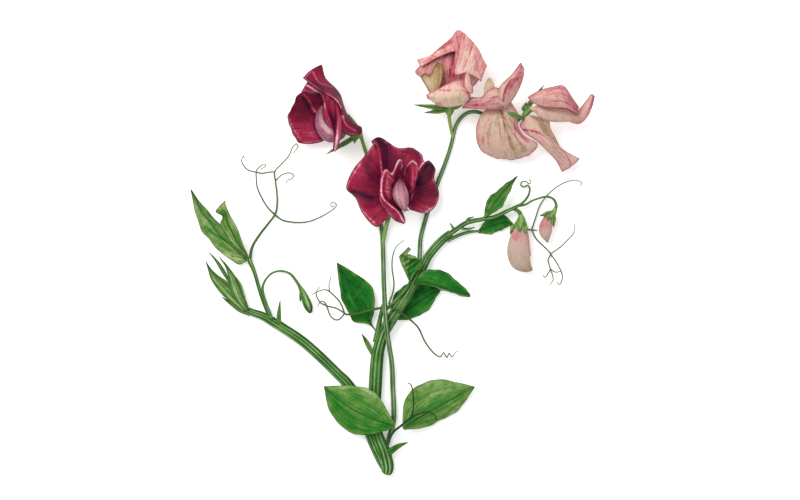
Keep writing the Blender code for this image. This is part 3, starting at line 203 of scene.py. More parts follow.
def tissue(name, ramp, streaks, patches, rim, vein, under, roughness, relief):
    """A material for thin plant tissue.

    ramp: (share, hex) stops. streaks and patches: (size in mm, strength in tones).
    rim: (outer hex, outer width, inner hex, inner width, strength). vein: (hex, width, strength).
    under: (hex, strength). relief: height of the veins in mm.
    """
    material, tree, shader = new_material(name, roughness, shine=0.15)
    kept = {value: add_node(tree, "ShaderNodeAttribute", out="Fac", attribute_name=value) for value in VALUES}
    grain = add_node(tree, "ShaderNodeAttribute", out="Vector", attribute_name="grain")
    place = add_node(tree, "ShaderNodeTexCoord", out="Object")

    # Patterns: fine streaks, and broad bands of painted shade and highlight that stand for soft folds, drawn
    # out along the veins, then patches and specks.
    drawn_out = add_node(tree, "ShaderNodeVectorMath", {0: grain, 1: (1.0, 1.0, 0.09)}, operation="MULTIPLY")
    streak = add_node(tree, "ShaderNodeTexNoise", {
        "Vector": drawn_out, "Scale": 1 / streaks[0], "Detail": 3.0, "Roughness": 0.6, "Distortion": 0.25})
    fold = add_node(tree, "ShaderNodeTexNoise", {"Vector": drawn_out, "Scale": 0.3 / streaks[0],
                                                 "Detail": 2.0})
    patch = add_node(tree, "ShaderNodeTexNoise", {"Vector": place, "Scale": 1000 / patches[0], "Detail": 4.0})
    speck = add_node(tree, "ShaderNodeTexNoise", {"Vector": place, "Scale": 1000 / SPECK, "Detail": 2.0})
    patterns = ((streak, streaks[1]), (fold, streaks[1] * 0.7), (patch, patches[1]), (speck, 0.4))
    mean = 0.5 * sum(amount for _, amount in patterns)
    tone = add_node(tree, "ShaderNodeMath", {0: kept["tone"], 1: mean}, operation="SUBTRACT")

    # Lines: main veins, a pale line that comes and goes inside the margin, and the margin itself. The
    # patches move both margin lines in and out, and half of that is taken off again.
    half_ragged = 0.5 * RAGGED
    line = add_node(tree, "ShaderNodeMapRange", {
        "Value": kept["vein"], "From Min": 0.1, "From Max": vein[1], "To Min": vein[2], "To Max": 0.0},
        interpolation_type="SMOOTHSTEP")
    ragged = add_node(tree, "ShaderNodeMath", {0: patch, 1: RAGGED, 2: kept["rim"]}, operation="MULTIPLY_ADD")
    inner = add_node(tree, "ShaderNodeMapRange", {
        "Value": ragged, "From Min": rim[1] + rim[3] * 0.5 + half_ragged,
        "From Max": rim[1] + rim[3] + half_ragged, "To Min": 1.0, "To Max": 0.0},
        interpolation_type="SMOOTHSTEP")
    here = add_node(tree, "ShaderNodeMapRange", {
        "Value": patch, "From Min": 0.4, "From Max": 0.58, "To Min": 0.0, "To Max": rim[4]},
        interpolation_type="SMOOTHSTEP")
    inner = add_node(tree, "ShaderNodeMath", {0: inner, 1: here}, operation="MULTIPLY")
    outer = add_node(tree, "ShaderNodeMapRange", {
        "Value": ragged, "From Min": rim[1] * 0.7 + half_ragged, "From Max": rim[1] * 1.2 + half_ragged,
        "To Min": 0.85, "To Max": 0.0}, interpolation_type="SMOOTHSTEP")
    below = add_node(tree, "ShaderNodeMath", {0: kept["under"], 1: under[1]}, operation="MULTIPLY")

    # Relief: streaks stand up and main veins are sunk.
    height = add_node(tree, "ShaderNodeMath", {0: streak, 1: 0.7, 2: speck}, operation="MULTIPLY_ADD")
    height = add_node(tree, "ShaderNodeMath", {0: line, 1: -0.6, 2: height}, operation="MULTIPLY_ADD")
    layers = ((line, vein[0]), (inner, rim[2]), (outer, rim[0]), (below, under[0]))
    colour_and_relief(tree, shader, tone, patterns, ramp, layers, height, 0.7, relief * MM)
    return material


# %% [markdown]
# ## The spray's finishes
# None of these tissues is one flat colour. Each ramp below runs from the colour of the tissue's deepest fold
# to that of its most stretched ridge, so the tone at a point gives its own colour there together with painted
# shade in the folds and painted highlights on the ridges. Plant skin is soft satin: its roughness is near 0.6
# and its shine low, so the colours stay deep when the light comes from the side.

# %% The spray's finishes
# Dark standard and wings: satin cells full of red and purple sap, near black at the margin, with a thin pale
# pink line just inside it where the petal is one cell thick. The near black of the folds is painted shade,
# and the palest pinks are painted highlights on the ridges.
DARK_PETAL = tissue(
    "maroon_petal_tissue",
    [(0.0, "#2c061f"), (0.16, "#58082e"), (0.36, "#780c2e"), (0.54, "#8f1c3b"), (0.68, "#a42c4b"),
     (0.84, "#c45d78"), (1.0, "#ecb8c0")],
    streaks=(1.0, 0.7), patches=(5.0, 0.4), rim=("#2c0a24", 0.42, "#c46f88", 0.75, 0.5),
    vein=("#3a0f2c", 0.3, 0.0), under=("#6c1e3a", 0.15), roughness=0.6, relief=0.2)
# Dark bloom's keel: the same sap thinned to mauve, with cream where there is none.
DARK_KEEL = tissue(
    "mauve_keel_tissue",
    [(0.0, "#4d1d3c"), (0.25, "#8d5264"), (0.5, "#ab6f7f"), (0.75, "#c9969c"), (1.0, "#e3d6be")],
    streaks=(0.9, 0.75), patches=(4.0, 0.3), rim=("#4b1b3a", 0.4, "#8d5264", 0.9, 0.5),
    vein=("#4d1d3c", 0.4, 0.5), under=("#8d5264", 0.1), roughness=0.6, relief=0.15)
# Pale standard and wings: nearly clear cells, tan at the claw, cream, then blush and rose to the margin.
PALE_PETAL = tissue(
    "blush_petal_tissue",
    [(0.0, "#93705a"), (0.18, "#b59474"), (0.36, "#cbae92"), (0.5, "#dfc3b2"), (0.62, "#d6a49a"),
     (0.78, "#cb8284"), (0.9, "#bd6069"), (1.0, "#9b3b48")],
    streaks=(0.9, 0.75), patches=(4.0, 0.5), rim=("#a84e58", 0.38, "#cf8084", 0.8, 0.5),
    vein=("#b98d76", 0.3, 0.0), under=("#d0a097", 0.15), roughness=0.65, relief=0.2)
# The two older pale blooms: the same petals, duller and browner as their sap dries.
DUSKY_PETAL = tissue(
    "dusky_blush_petal_tissue",
    [(0.0, "#7c5c48"), (0.18, "#9c7c62"), (0.36, "#b89c86"), (0.5, "#ccaea0"), (0.62, "#c8988f"),
     (0.78, "#bc777b"), (0.9, "#a65560"), (1.0, "#883643")],
    streaks=(0.8, 0.62), patches=(4.0, 0.5), rim=("#9a4450", 0.38, "#c07278", 0.8, 0.5),
    vein=("#a47a66", 0.3, 0.0), under=("#c0948c", 0.15), roughness=0.65, relief=0.2)
# Pale bloom's keel: khaki cells, with a brown line along the seam and the tip.
PALE_KEEL = tissue(
    "khaki_keel_tissue",
    [(0.0, "#7c5c36"), (0.25, "#a98a60"), (0.5, "#c1a883"), (0.75, "#d6c1a6"), (1.0, "#c98e85")],
    streaks=(0.9, 0.6), patches=(3.5, 0.3), rim=("#74502f", 0.42, "#a37d58", 0.9, 0.5),
    vein=("#8a5f50", 0.4, 0.7), under=("#c0a888", 0.1), roughness=0.65, relief=0.15)
# Bud petals: folded tight, rose over cream, with a brown line along each closed margin.
BUD_PETAL = tissue(
    "rose_bud_tissue",
    [(0.0, "#7d5c4a"), (0.2, "#a38a74"), (0.4, "#b29e8c"), (0.55, "#c09e94"), (0.72, "#bb8280"),
     (0.88, "#b96f74"), (1.0, "#9c474f")],
    streaks=(0.8, 0.5), patches=(3.0, 0.3), rim=("#7d4a42", 0.3, "#b9837a", 0.8, 0.5),
    vein=("#6e443c", 0.45, 0.85), under=("#c9a598", 0.1), roughness=0.65, relief=0.15)
# Leaflets and stipules: waxy green with an olive margin, and sunk veins drawn darker as painted shade.
LEAF = tissue(
    "waxy_leaf_blade",
    [(0.0, "#023a0a"), (0.16, "#06600f"), (0.34, "#1d6f1c"), (0.5, "#3f7826"), (0.64, "#5c8438"),
     (0.8, "#7a985c"), (1.0, "#a8bc78")],
    streaks=(0.9, 0.6), patches=(4.0, 0.65), rim=("#2a471a", 0.32, "#84954a", 0.9, 0.3),
    vein=("#123f18", 0.5, 0.7), under=("#8fa86c", 0.6), roughness=0.6, relief=0.2)
# Green buds: young leaf tissue, folded and streaked with olive.
GREEN_BUD = tissue(
    "young_green_tissue",
    [(0.0, "#1c3a1a"), (0.3, "#4a7136"), (0.55, "#6f9450"), (0.8, "#94b06c"), (1.0, "#c0cc8c")],
    streaks=(0.8, 0.8), patches=(3.0, 0.3), rim=("#2c3c18", 0.25, "#8fa35c", 0.5, 0.3),
    vein=("#26411f", 0.4, 0.7), under=("#8fa86c", 0.3), roughness=0.6, relief=0.15)
# Calyx: the green cup and teeth that held the bud, yellowish where it meets the stalk.
CALYX = tissue(
    "calyx_green_tissue",
    [(0.0, "#284a20"), (0.3, "#557a3a"), (0.55, "#7c9c56"), (0.8, "#a0a45c"), (1.0, "#b09c5c")],
    streaks=(0.8, 0.6), patches=(2.5, 0.35), rim=("#2c4a1e", 0.25, "#8fa86c", 0.4, 0.3),
    vein=("#2b4a22", 0.35, 0.6), under=("#a9bd84", 0.3), roughness=0.6, relief=0.15)
print("tissue finishes:", sum("tissue" in m.name or "leaf" in m.name for m in bpy.data.materials))

# %% [markdown]
# ## Cages and skins
# A petal's shape is a cage: rows of points set from the claw to the margin. A subdivision surface
# would shrink away from the cage, so the skin is lofted with Catmull-Rom curves, which pass through every
# point. The fourth number of a cage point is its tone, and it is carried along the same curves.


# %% Curves through a cage
def refined(cage, cuts):
    """A curve through rows of numbers, with the same count of cuts between each pair of rows."""
    rows = np.asarray(cage, float)
    path = np.concatenate([[2 * rows[0] - rows[1]], rows, [2 * rows[-1] - rows[-2]]])
    t = (np.arange(cuts) / cuts).reshape(-1, *[1] * (rows.ndim - 1))
    spans = [0.5 * (2 * q + (r - p) * t + (2 * p - 5 * q + 4 * r - s) * t ** 2
                    + (3 * q - p - 3 * r + s) * t ** 3)
             for p, q, r, s in zip(path, path[1:], path[2:], path[3:])]
    return np.concatenate([*spans, rows[-1:]])


def lofted(cage, along, across):
    """A fine grid of rows and columns through a coarse cage."""
    return refined(refined(cage, along).swapaxes(0, 1), across).swapaxes(0, 1)


def facing(grid):
    """The unit normal at each point of a grid."""
    normal = np.cross(np.gradient(grid, axis=1), np.gradient(grid, axis=0))
    length = np.linalg.norm(normal, axis=-1, keepdims=True)
    return np.where(length > 1e-9, normal / np.maximum(length, 1e-9), (0.0, 0.0, 1.0))


# %% Closing a thin body
def wrapped(rows, columns):
    """The quads of a grid whose last column joins its first."""
    return [(r * columns + c, r * columns + (c + 1) % columns, (r + 1) * columns + (c + 1) % columns,
             (r + 1) * columns + c) for r in range(rows - 1) for c in range(columns)]


def two_sided(top, bottom, grain, tone, rim, vein):
    """A closed body from a top and a bottom sheet, which meet all round the margin."""
    rows, columns = tone.shape
    pairs = ((top, bottom), (grain, grain), (tone, tone), (rim, rim), (vein, vein))
    points, grain, tones, rims, lines = [np.concatenate([a, b[:, ::-1]], axis=1) for a, b in pairs]
    under = np.concatenate([0 * tone, 0 * tone + 1], axis=1)
    faces = wrapped(rows, 2 * columns)
    for row, flip in ((0, 1), (rows - 1, 0)):
        start = row * 2 * columns
        for k in range(columns - 1):
            face = (start + k, start + k + 1, start + 2 * columns - 2 - k, start + 2 * columns - 1 - k)
            faces.append(face[::-1] if flip else face)
    return dict(points=points.reshape(-1, 3), faces=faces, grain=grain.reshape(-1, 3), tone=tones.ravel(),
                rim=rims.ravel(), vein=lines.ravel(), under=under.ravel())


def sin_field(phase, seed):
    """A wave that never quite repeats, for ruffled margins."""
    return (np.sin(2 * pi * phase + seed) + 0.5 * np.sin(2 * pi * phase * 2.3 + seed * 2.1)) / 1.5


# %% A thin blade
THINNING = 1.5        # mm in from its margin at which a blade has its full thickness
GROOVE_WIDTH = 0.45   # mm to each side of a vein
RUFFLE_REACH = 3.5    # mm that a ruffle runs in from the margin
FAINTER = 0.26        # mm added to a side vein's distance, which makes it paler than the midrib


def blade(cage, along=8, across=8, thickness=0.35, ruffle=(0.0, 1.0), veins=(), groove=0.0, wobble=0.0,
          shade_and_highlight_lines=(), seed=0.0):
    """A closed thin body lofted through a cage of (x, y, z, tone).

    ruffle: (height in mm, waves across) of the margin. veins: columns of the cage that carry a main vein,
    each sunk by groove. wobble: how far in mm the side margins stray, so that they look grown.
    creases: ((x, y) points, width in mm, change of tone) of lines of painted shade in a fold or of a painted
    highlight on a lit edge.
    """
    fine = lofted(cage, along, across)
    points, tone = fine[..., :3].copy(), fine[..., 3].copy()
    rows, columns = tone.shape
    v, u = np.mgrid[0:1:rows * 1j, 0:1:columns * 1j]
    sway = wobble * sin_field(v * 2.6 + np.round(u), seed + 1.0) * np.abs(2 * u - 1) ** 3 * (4 * v * (1 - v))
    reach = points[:, -1:] - points[:, :1]
    reach /= np.maximum(np.linalg.norm(reach, axis=-1, keepdims=True), 1e-6)
    points += reach * (sway * np.sign(u - 0.5))[..., None]
    margin = np.concatenate([points[:, 0], points[:, -1], points[-1]])
    rim = np.linalg.norm(points[:, :, None] - margin[None, None], axis=-1).min(axis=-1)
    vein = np.full_like(rim, NO_LINE)
    for column in veins:
        line = points[:, round(column * across)][:, None]
        fainter = 0.0 if 2 * column == len(cage[0]) - 1 else FAINTER
        vein = np.minimum(vein, np.linalg.norm(points - line, axis=-1) + fainter)
    # Painted shade darkens the tone along a fold, and a painted highlight lightens it along a lit edge.
    for line, width, change in shade_and_highlight_lines:
        line = refined(refined(line, 6), 4)
        gap = np.linalg.norm(points[:, :, None, :2] - line, axis=-1).min(axis=-1)
        tone = tone + change * np.exp(-(gap / width) ** 2)
    normal = facing(points)
    if normal[..., 2].mean() < 0:
        normal = -normal
    height, waves = ruffle
    swing = sin_field(u * waves + v * waves * 0.3, seed) * np.exp(-rim / RUFFLE_REACH) * np.minimum(v * 3, 1)
    points += normal * (height * swing - groove * np.exp(-(vein / GROOVE_WIDTH) ** 2))[..., None]
    half = thickness / 2 * (0.35 + 0.65 * np.clip(rim / THINNING, 0, 1))[..., None]
    length = np.linalg.norm(np.diff(points, axis=0), axis=-1).cumsum(axis=0).mean(axis=1)
    width = np.linalg.norm(np.diff(points, axis=1), axis=-1).sum(axis=1).max()
    grain = np.stack([(u - 0.5) * width + seed * 7, np.full_like(u, seed),
                      np.concatenate([[0], length])[:, None] + 0 * u], axis=-1)
    return two_sided(points + normal * half, points - normal * half, grain, tone, rim, vein)


# %% [markdown]
# ## Round bodies
# Keels, buds and calyx cups are closed pods. Each is a run of oval rings, given by its middle, its half
# width and its half height. A seam along the top is drawn in as a shallow groove.


# %% A pod
LEAST_RADIUS = 0.12   # mm, so that a pod's end stays open enough to close with a fan
SEAM_WIDTH = 0.6      # mm to each side of a seam


def pod(stations, cuts=6, sides=28, tone=0.5, seams=(), groove=0.2, blush=None, seed=0.0):
    """A closed body through (x, y, z, half width, half height). seams: their places in turns.

    A turn of 0 is the left side of the run, 0.25 is its top. blush: a tone for each share and turn.
    """
    fine = refined(stations, cuts)
    centre, size = fine[:, :3], np.maximum(fine[:, 3:5], LEAST_RADIUS)
    run = np.gradient(centre, axis=0)
    run /= np.linalg.norm(run, axis=-1, keepdims=True)
    side = np.cross(run, (0.0, 0.0, 1.0))
    side /= np.maximum(np.linalg.norm(side, axis=-1, keepdims=True), 1e-9)
    up = np.cross(side, run)
    rows = len(fine)
    v = np.linspace(0, 1, rows)[:, None] + np.zeros(sides)
    turn = np.zeros(rows)[:, None] + np.arange(sides) / sides
    vein = np.full((rows, sides), NO_LINE)
    for seam in seams:
        vein = np.minimum(vein, np.abs((turn - seam + 0.5) % 1 - 0.5) * 2 * pi * size[:, :1])
    scale = 1 - groove * np.exp(-(vein / SEAM_WIDTH) ** 2) * np.minimum(1, 4 * np.minimum(v, 1 - v))
    across = (np.cos(2 * pi * turn) * size[:, :1] * scale)[..., None]
    rise = (np.sin(2 * pi * turn) * size[:, 1:] * scale)[..., None]
    points = centre[:, None] + side[:, None] * across + up[:, None] * rise
    along = np.concatenate([[0], np.linalg.norm(np.diff(centre, axis=0), axis=-1).cumsum()])[:, None] + 0 * v
    grain = np.stack([across[..., 0] + seed * 7, rise[..., 0], along], axis=-1)
    shade = np.full((rows, sides), float(tone)) if blush is None else blush(v, turn)
    flat = [a.reshape(-1, *a.shape[2:]) for a in (points, grain, shade, vein)]
    ends = np.array([centre[0], centre[-1]])
    first = rows * sides
    faces = wrapped(rows, sides)
    faces += [(first, (k + 1) % sides, k) for k in range(sides)]
    last = (rows - 1) * sides
    faces += [(first + 1, last + k, last + (k + 1) % sides) for k in range(sides)]
    return dict(points=np.concatenate([flat[0], ends]), faces=faces,
                grain=np.concatenate([flat[1], grain[[0, -1], 0]]),
                tone=np.concatenate([flat[2], shade[[0, -1], 0]]),
                rim=np.full(first + 2, NO_LINE), vein=np.concatenate([flat[3], [NO_LINE, NO_LINE]]),
                under=np.zeros(first + 2))


# %% Making a piece
def turned_outward(mesh):
    """Make every face of a mesh look outward."""
    bm = bmesh.new()
    bm.from_mesh(mesh)
    bmesh.ops.recalc_face_normals(bm, faces=bm.faces)
    bm.to_mesh(mesh)
    bm.free()
    return mesh


def piece(name, parts, finish):
    """Join parts into one mesh with its values, and let it stand for its node of the frame."""
    mesh = bpy.data.meshes.new(name)
    points = np.concatenate([part["points"] for part in parts])
    starts = np.cumsum([0] + [len(part["points"]) for part in parts])
    faces = [[i + start for i in face] for part, start in zip(parts, starts) for face in part["faces"]]
    mesh.from_pydata(((points + SHIFT) * MM).tolist(), [], faces)
    for value in VALUES:
        layer = mesh.attributes.new(value, "FLOAT", "POINT")
        layer.data.foreach_set("value", np.concatenate([part[value] for part in parts]).astype(np.float32))
    layer = mesh.attributes.new("grain", "FLOAT_VECTOR", "POINT")
    layer.data.foreach_set("vector", np.concatenate([part["grain"] for part in parts]).ravel())
    settle(name, turned_outward(mesh), finish)


def settle(name, mesh, finish):
    """Link a finished mesh, give it its finish, and tie it to the frame."""
    mesh.materials.clear()
    mesh.materials.append(finish)
    mesh.shade_smooth()
    made = bpy.data.objects.new(name + "_skin", mesh)
    scene.collection.objects.link(made)
    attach(made, "root")
    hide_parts(name)
    print(f"{name}: {len(mesh.polygons)} faces")


# %% [markdown]
# ## Stems that follow a path
# A sweet pea stem is a ridged rod with two thin wings, and a flower stalk is the same rod without them. A
# curve with a bevel would only make a round one. Geometry Nodes sweep a shaped ring along the path, so one
# tree serves every stem, stalk and tendril, and its inputs set the wings and the ridges of each.

# %% The stem's node tree
stem_tree = bpy.data.node_groups.new("swept_stem", "GeometryNodeTree")
STEM_INPUTS = (("Path", "NodeSocketGeometry", None), ("Wing reach", "NodeSocketFloat", 0.4),
               ("Ridge depth", "NodeSocketFloat", 0.06), ("Ridges", "NodeSocketFloat", 6.0),
               ("Sides", "NodeSocketInt", 32), ("Finish", "NodeSocketMaterial", None))
for title, kind, start in STEM_INPUTS:
    socket = stem_tree.interface.new_socket(title, in_out="INPUT", socket_type=kind)
    if start is not None:
        socket.default_value = start
stem_tree.interface.new_socket("Stem", in_out="OUTPUT", socket_type="NodeSocketGeometry")
given = add_node(stem_tree, "NodeGroupInput").node.outputs
ring = add_node(stem_tree, "GeometryNodeCurvePrimitiveCircle", {"Resolution": given["Sides"], "Radius": 1.0})
spot = add_node(stem_tree, "GeometryNodeInputPosition")
spot_parts = add_node(stem_tree, "ShaderNodeSeparateXYZ", {0: spot}).node.outputs
angle = add_node(stem_tree, "ShaderNodeMath", {0: spot_parts["Y"], 1: spot_parts["X"]}, operation="ARCTAN2")
turns = add_node(stem_tree, "ShaderNodeMath", {0: angle, 1: given["Ridges"]}, operation="MULTIPLY")
ridge = add_node(stem_tree, "ShaderNodeMath", {0: turns}, operation="COSINE")
sideways = add_node(stem_tree, "ShaderNodeMath", {0: spot_parts["X"]}, operation="ABSOLUTE")
wing = add_node(stem_tree, "ShaderNodeMath", {0: sideways, 1: 5.0}, operation="POWER")
swell = add_node(stem_tree, "ShaderNodeMath", {0: ridge, 1: given["Ridge depth"], 2: 1.0},
                 operation="MULTIPLY_ADD")
reach = add_node(stem_tree, "ShaderNodeMath", {0: wing, 1: given["Wing reach"], 2: swell},
                 operation="MULTIPLY_ADD")
flat = add_node(stem_tree, "ShaderNodeMath", {0: wing, 1: -0.2, 2: swell}, operation="MULTIPLY_ADD")
stretch = add_node(stem_tree, "ShaderNodeCombineXYZ", {"X": reach, "Y": flat, "Z": 1.0})
moved = add_node(stem_tree, "ShaderNodeVectorMath", {0: spot, 1: stretch}, operation="MULTIPLY")
kept_ridge = add_node(stem_tree, "GeometryNodeStoreNamedAttribute",
                      {"Geometry": ring, "Name": "ridge", "Value": ridge})
kept_wing = add_node(stem_tree, "GeometryNodeStoreNamedAttribute",
                     {"Geometry": kept_ridge, "Name": "wing", "Value": wing})
profile = add_node(stem_tree, "GeometryNodeSetPosition", {"Geometry": kept_wing, "Position": moved})
level = add_node(stem_tree, "GeometryNodeSetCurveNormal", {"Curve": given["Path"]}, mode="Z_UP")
length = add_node(stem_tree, "GeometryNodeSplineParameter").node.outputs
measured = add_node(stem_tree, "GeometryNodeStoreNamedAttribute",
                    {"Geometry": level, "Name": "along", "Value": length["Length"]})
shared = add_node(stem_tree, "GeometryNodeStoreNamedAttribute",
                  {"Geometry": measured, "Name": "share", "Value": length["Factor"]})
radius = add_node(stem_tree, "GeometryNodeInputRadius")
swept = add_node(stem_tree, "GeometryNodeCurveToMesh",
                 {"Curve": shared, "Profile Curve": profile, "Scale": radius, "Fill Caps": True})
real = add_node(stem_tree, "GeometryNodeRealizeInstances", {0: swept})
finished = add_node(stem_tree, "GeometryNodeSetMaterial", {"Geometry": real, "Material": given["Finish"]})
add_node(stem_tree, "NodeGroupOutput", {"Stem": finished})
print("stem tree nodes:", len(stem_tree.nodes))


# %% Using the tree
LEAST_CORD = 0.16     # mm, the thinnest radius that is still drawn whole


def swept_mesh(name, routes, finish, step=1.6, **sizes):
    """A mesh swept along routes of (x, y, z, radius), with the tree's named inputs set to sizes."""
    curve = bpy.data.curves.new(name, "CURVE")
    curve.dimensions = "3D"
    for route in routes:
        gap = np.linalg.norm(np.diff([point[:3] for point in route], axis=0), axis=-1).mean()
        points = refined(route, max(2, round(gap / step)))
        line = curve.splines.new("POLY")
        line.points.add(len(points) - 1)
        for spot, (x, y, z, thick) in zip(line.points, points):
            spot.co = (*((np.array([x, y, z]) + SHIFT) * MM), 1.0)
            spot.radius = max(thick, LEAST_CORD) * MM
    guide = bpy.data.objects.new(name + "_guide", curve)
    scene.collection.objects.link(guide)
    sweep = guide.modifiers.new("sweep", "NODES")
    sweep.node_group = stem_tree
    for item in stem_tree.interface.items_tree:
        if item.item_type == "SOCKET" and item.in_out == "INPUT" and item.name in sizes:
            sweep[item.identifier] = sizes[item.name]
        if item.name == "Finish":
            sweep[item.identifier] = finish
    evaluated = guide.evaluated_get(bpy.context.evaluated_depsgraph_get())
    mesh = bpy.data.meshes.new_from_object(evaluated)
    bpy.data.objects.remove(guide)
    return turned_outward(mesh)


# %% [markdown]
# ## Stem finishes
# Stem skin is green with pale and dark stripes along its ridges, partly the skin's own and partly painted
# highlight and shade, and its wings are darker at their edges. The sweep keeps four values for this: `ridge`
# and `wing` round the stem, `along` in metres, and `share`, which is 0 at the root and 1 at the tip.


# %% A stem material
STEM_VALUES = ("ridge", "wing", "along", "share")
STEM_PATCH = 6.0      # mm


def stem_skin(name, ramp, stripes, wing_hex, tip_hex, tip_from):
    """A ridged green skin. stripes: their strength in tones; they are partly the skin's own stripes and
    partly painted highlight on the ridges and painted shade between them. tip_hex colours the end past
    tip_from.
    """
    material, tree, shader = new_material(name, roughness=0.55, shine=0.2)
    kept = {value: add_node(tree, "ShaderNodeAttribute", out="Fac", attribute_name=value)
            for value in STEM_VALUES}
    place = add_node(tree, "ShaderNodeTexCoord", out="Object")

    # Patterns: fibres about 11 mm long that follow the ridges, patches a few mm long, and specks. The
    # place along the stem is in metres, and the place round it runs from -1 to 1, hence the three factors.
    round_it = add_node(tree, "ShaderNodeCombineXYZ",
                        {"X": kept["ridge"], "Y": kept["wing"], "Z": kept["along"]})
    drawn_out = add_node(tree, "ShaderNodeVectorMath", {0: round_it, 1: (1.4, 2.0, 70.0)},
                         operation="MULTIPLY")
    fibre = add_node(tree, "ShaderNodeTexNoise", {"Vector": drawn_out, "Scale": 1.3, "Detail": 3.0})
    patch = add_node(tree, "ShaderNodeTexNoise", {"Vector": place, "Scale": 1000 / STEM_PATCH, "Detail": 4.0})
    speck = add_node(tree, "ShaderNodeTexNoise", {"Vector": place, "Scale": 1000 / SPECK})
    patterns = ((fibre, 1.1), (patch, 0.6), (speck, 0.25))
    # The ridge value makes the stripes: partly the skin's own, partly painted highlight on each ridge and
    # painted shade between.
    tone = add_node(tree, "ShaderNodeMath",
                    {0: kept["ridge"], 1: stripes, 2: 0.5 - 0.5 * sum(amount for _, amount in patterns)},
                    operation="MULTIPLY_ADD")

    # The wings are darker at their edges, and the far end fades to its own colour.
    edge = add_node(tree, "ShaderNodeMath", {0: kept["wing"], 1: 0.65}, operation="MULTIPLY")
    end = add_node(tree, "ShaderNodeMapRange", {
        "Value": kept["share"], "From Min": tip_from, "From Max": 1.0, "To Min": 0.0, "To Max": 0.85},
        interpolation_type="SMOOTHSTEP")
    height = add_node(tree, "ShaderNodeMath", {0: speck, 1: 0.4, 2: fibre}, operation="MULTIPLY_ADD")
    layers = ((edge, wing_hex), (end, tip_hex))
    colour_and_relief(tree, shader, tone, patterns, ramp, layers, height, 0.6, 0.12 * MM)
    return material


# Leafy stem: fleshy green skin with pale and dark stripes along its ridges, partly its own and partly painted
# highlight and shade, and dark wing edges.
STEM = stem_skin("winged_stem_skin",
                 [(0.0, "#10300f"), (0.28, "#23501c"), (0.5, "#426f2e"), (0.7, "#6a964e"), (1.0, "#a4c284")],
                 stripes=0.27, wing_hex="#1f451f", tip_hex="#487430", tip_from=0.98)
# Flower stalk: the same skin, greyer and paler, with a long lit stripe.
STALK = stem_skin("flower_stalk_skin",
                  [(0.0, "#1c3c18"), (0.3, "#3a5e30"), (0.5, "#557648"), (0.7, "#7c976c"), (1.0, "#b0c09e")],
                  stripes=0.28, wing_hex="#35602c", tip_hex="#84904a", tip_from=0.9)
# Tendril: a thin cord of the same skin, olive, fading to a dry tan at its curled tip.
TENDRIL = stem_skin("tendril_skin",
                    [(0.0, "#24381a"), (0.4, "#3a5126"), (0.7, "#58703c"), (1.0, "#8a9a6a")],
                    stripes=0.12, wing_hex="#3a5126", tip_hex="#77774c", tip_from=0.75)
# The tendril at the base is older and nearly black-green to its end.
OLD_TENDRIL = stem_skin("old_tendril_skin",
                        [(0.0, "#0c2210"), (0.4, "#16321a"), (0.7, "#254628"), (1.0, "#446444")],
                        stripes=0.1, wing_hex="#16321a", tip_hex="#16321a", tip_from=0.9)

# %% [markdown]
# ## The leafy stem and its shoots
# The main stem is cut at its lower end, where the left branch and the front flower stalk leave it. The
# routes keep close to the frame's solids, with finer steps. The leaf stalks that lie beside the stem, and
# the small teeth on the right shoot, are too thin to be solids of their own, so they join the stem here.

# %% Stem routes, as (x, y, z, radius)
MAIN_STEM = [
    (-3.0, -99.8, 2.4, 0.8), (-2.8, -98.8, 2.5, 1.6), (-2.7, -95.6, 2.6, 2.0), (-4.4, -88.8, 2.7, 2.0),
    (-6.6, -83.4, 2.6, 1.8), (-8.0, -78, 2.5, 1.75), (-8.3, -68, 2.5, 1.85),
    (-8.1, -60.5, 2.5, 2.0), (-7.4, -48.8, 2.5, 1.95), (-6.3, -42.1, 2.5, 1.8), (-3.6, -34, 3.0, 1.7),
    (1.4, -25.9, 3.8, 1.6), (6.3, -18.7, 4.0, 1.6), (10.3, -11.5, 3.6, 1.5), (13.5, -5.6, 2.8, 1.4),
    (16.2, -0.7, 2.2, 1.3), (20.7, 4.7, 2.0, 1.3), (24.3, 7.9, 2.2, 1.2), (26.0, 9.3, 2.4, 1.1)]
LEAF_STALKS = [
    [(-8.2, -40, 3.0, 0.7), (-6.6, -33, 3.8, 0.75), (-5.4, -27, 4.2, 0.6), (-4.6, -23, 4.2, 0.45)],
    [(-2.6, -36, 4.4, 0.6), (1.4, -29, 5.2, 0.75), (6.8, -20, 5.6, 0.75), (9.8, -14.4, 6.2, 0.55)],
    [(-3.2, -25.4, 4.6, 0.45), (1.6, -20.6, 5.2, 0.5), (6.4, -15.4, 5.8, 0.5), (8.0, -11.6, 6.3, 0.4)],
    [(-1.2, -28.6, 4.4, 0.4), (4.0, -23.2, 5.6, 0.5), (8.6, -17.4, 5.6, 0.5), (11.2, -11.6, 4.9, 0.4)]]
LEFT_BRANCH = [
    (-4.4, -96.8, 2.3, 0.9), (-6.2, -92.0, 2.2, 1.4), (-8.8, -86.0, 2.1, 1.5), (-11.6, -78, 1.9, 1.6),
    (-16, -66, 1.8, 1.6), (-20.9, -58.5, 1.8, 1.6),
    (-25.2, -54.2, 1.7, 1.5), (-33.3, -46.3, 1.7, 1.5), (-41.9, -38.9, 1.7, 1.5), (-53.6, -31.3, 1.6, 1.4),
    (-58.6, -28.4, 1.5, 1.25), (-63.4, -26.7, 1.4, 1.1), (-66.4, -25.4, 1.5, 0.9)]
SIDE_SHOOT = [
    (-55.6, -29.0, 1.8, 0.8), (-58.2, -22.8, 1.5, 0.8), (-60.2, -17.0, 1.3, 0.8), (-62.6, -8.6, 1.3, 0.85),
    (-64.7, -3.6, 1.8, 1.1), (-65.3, -1.8, 2.3, 1.05)]
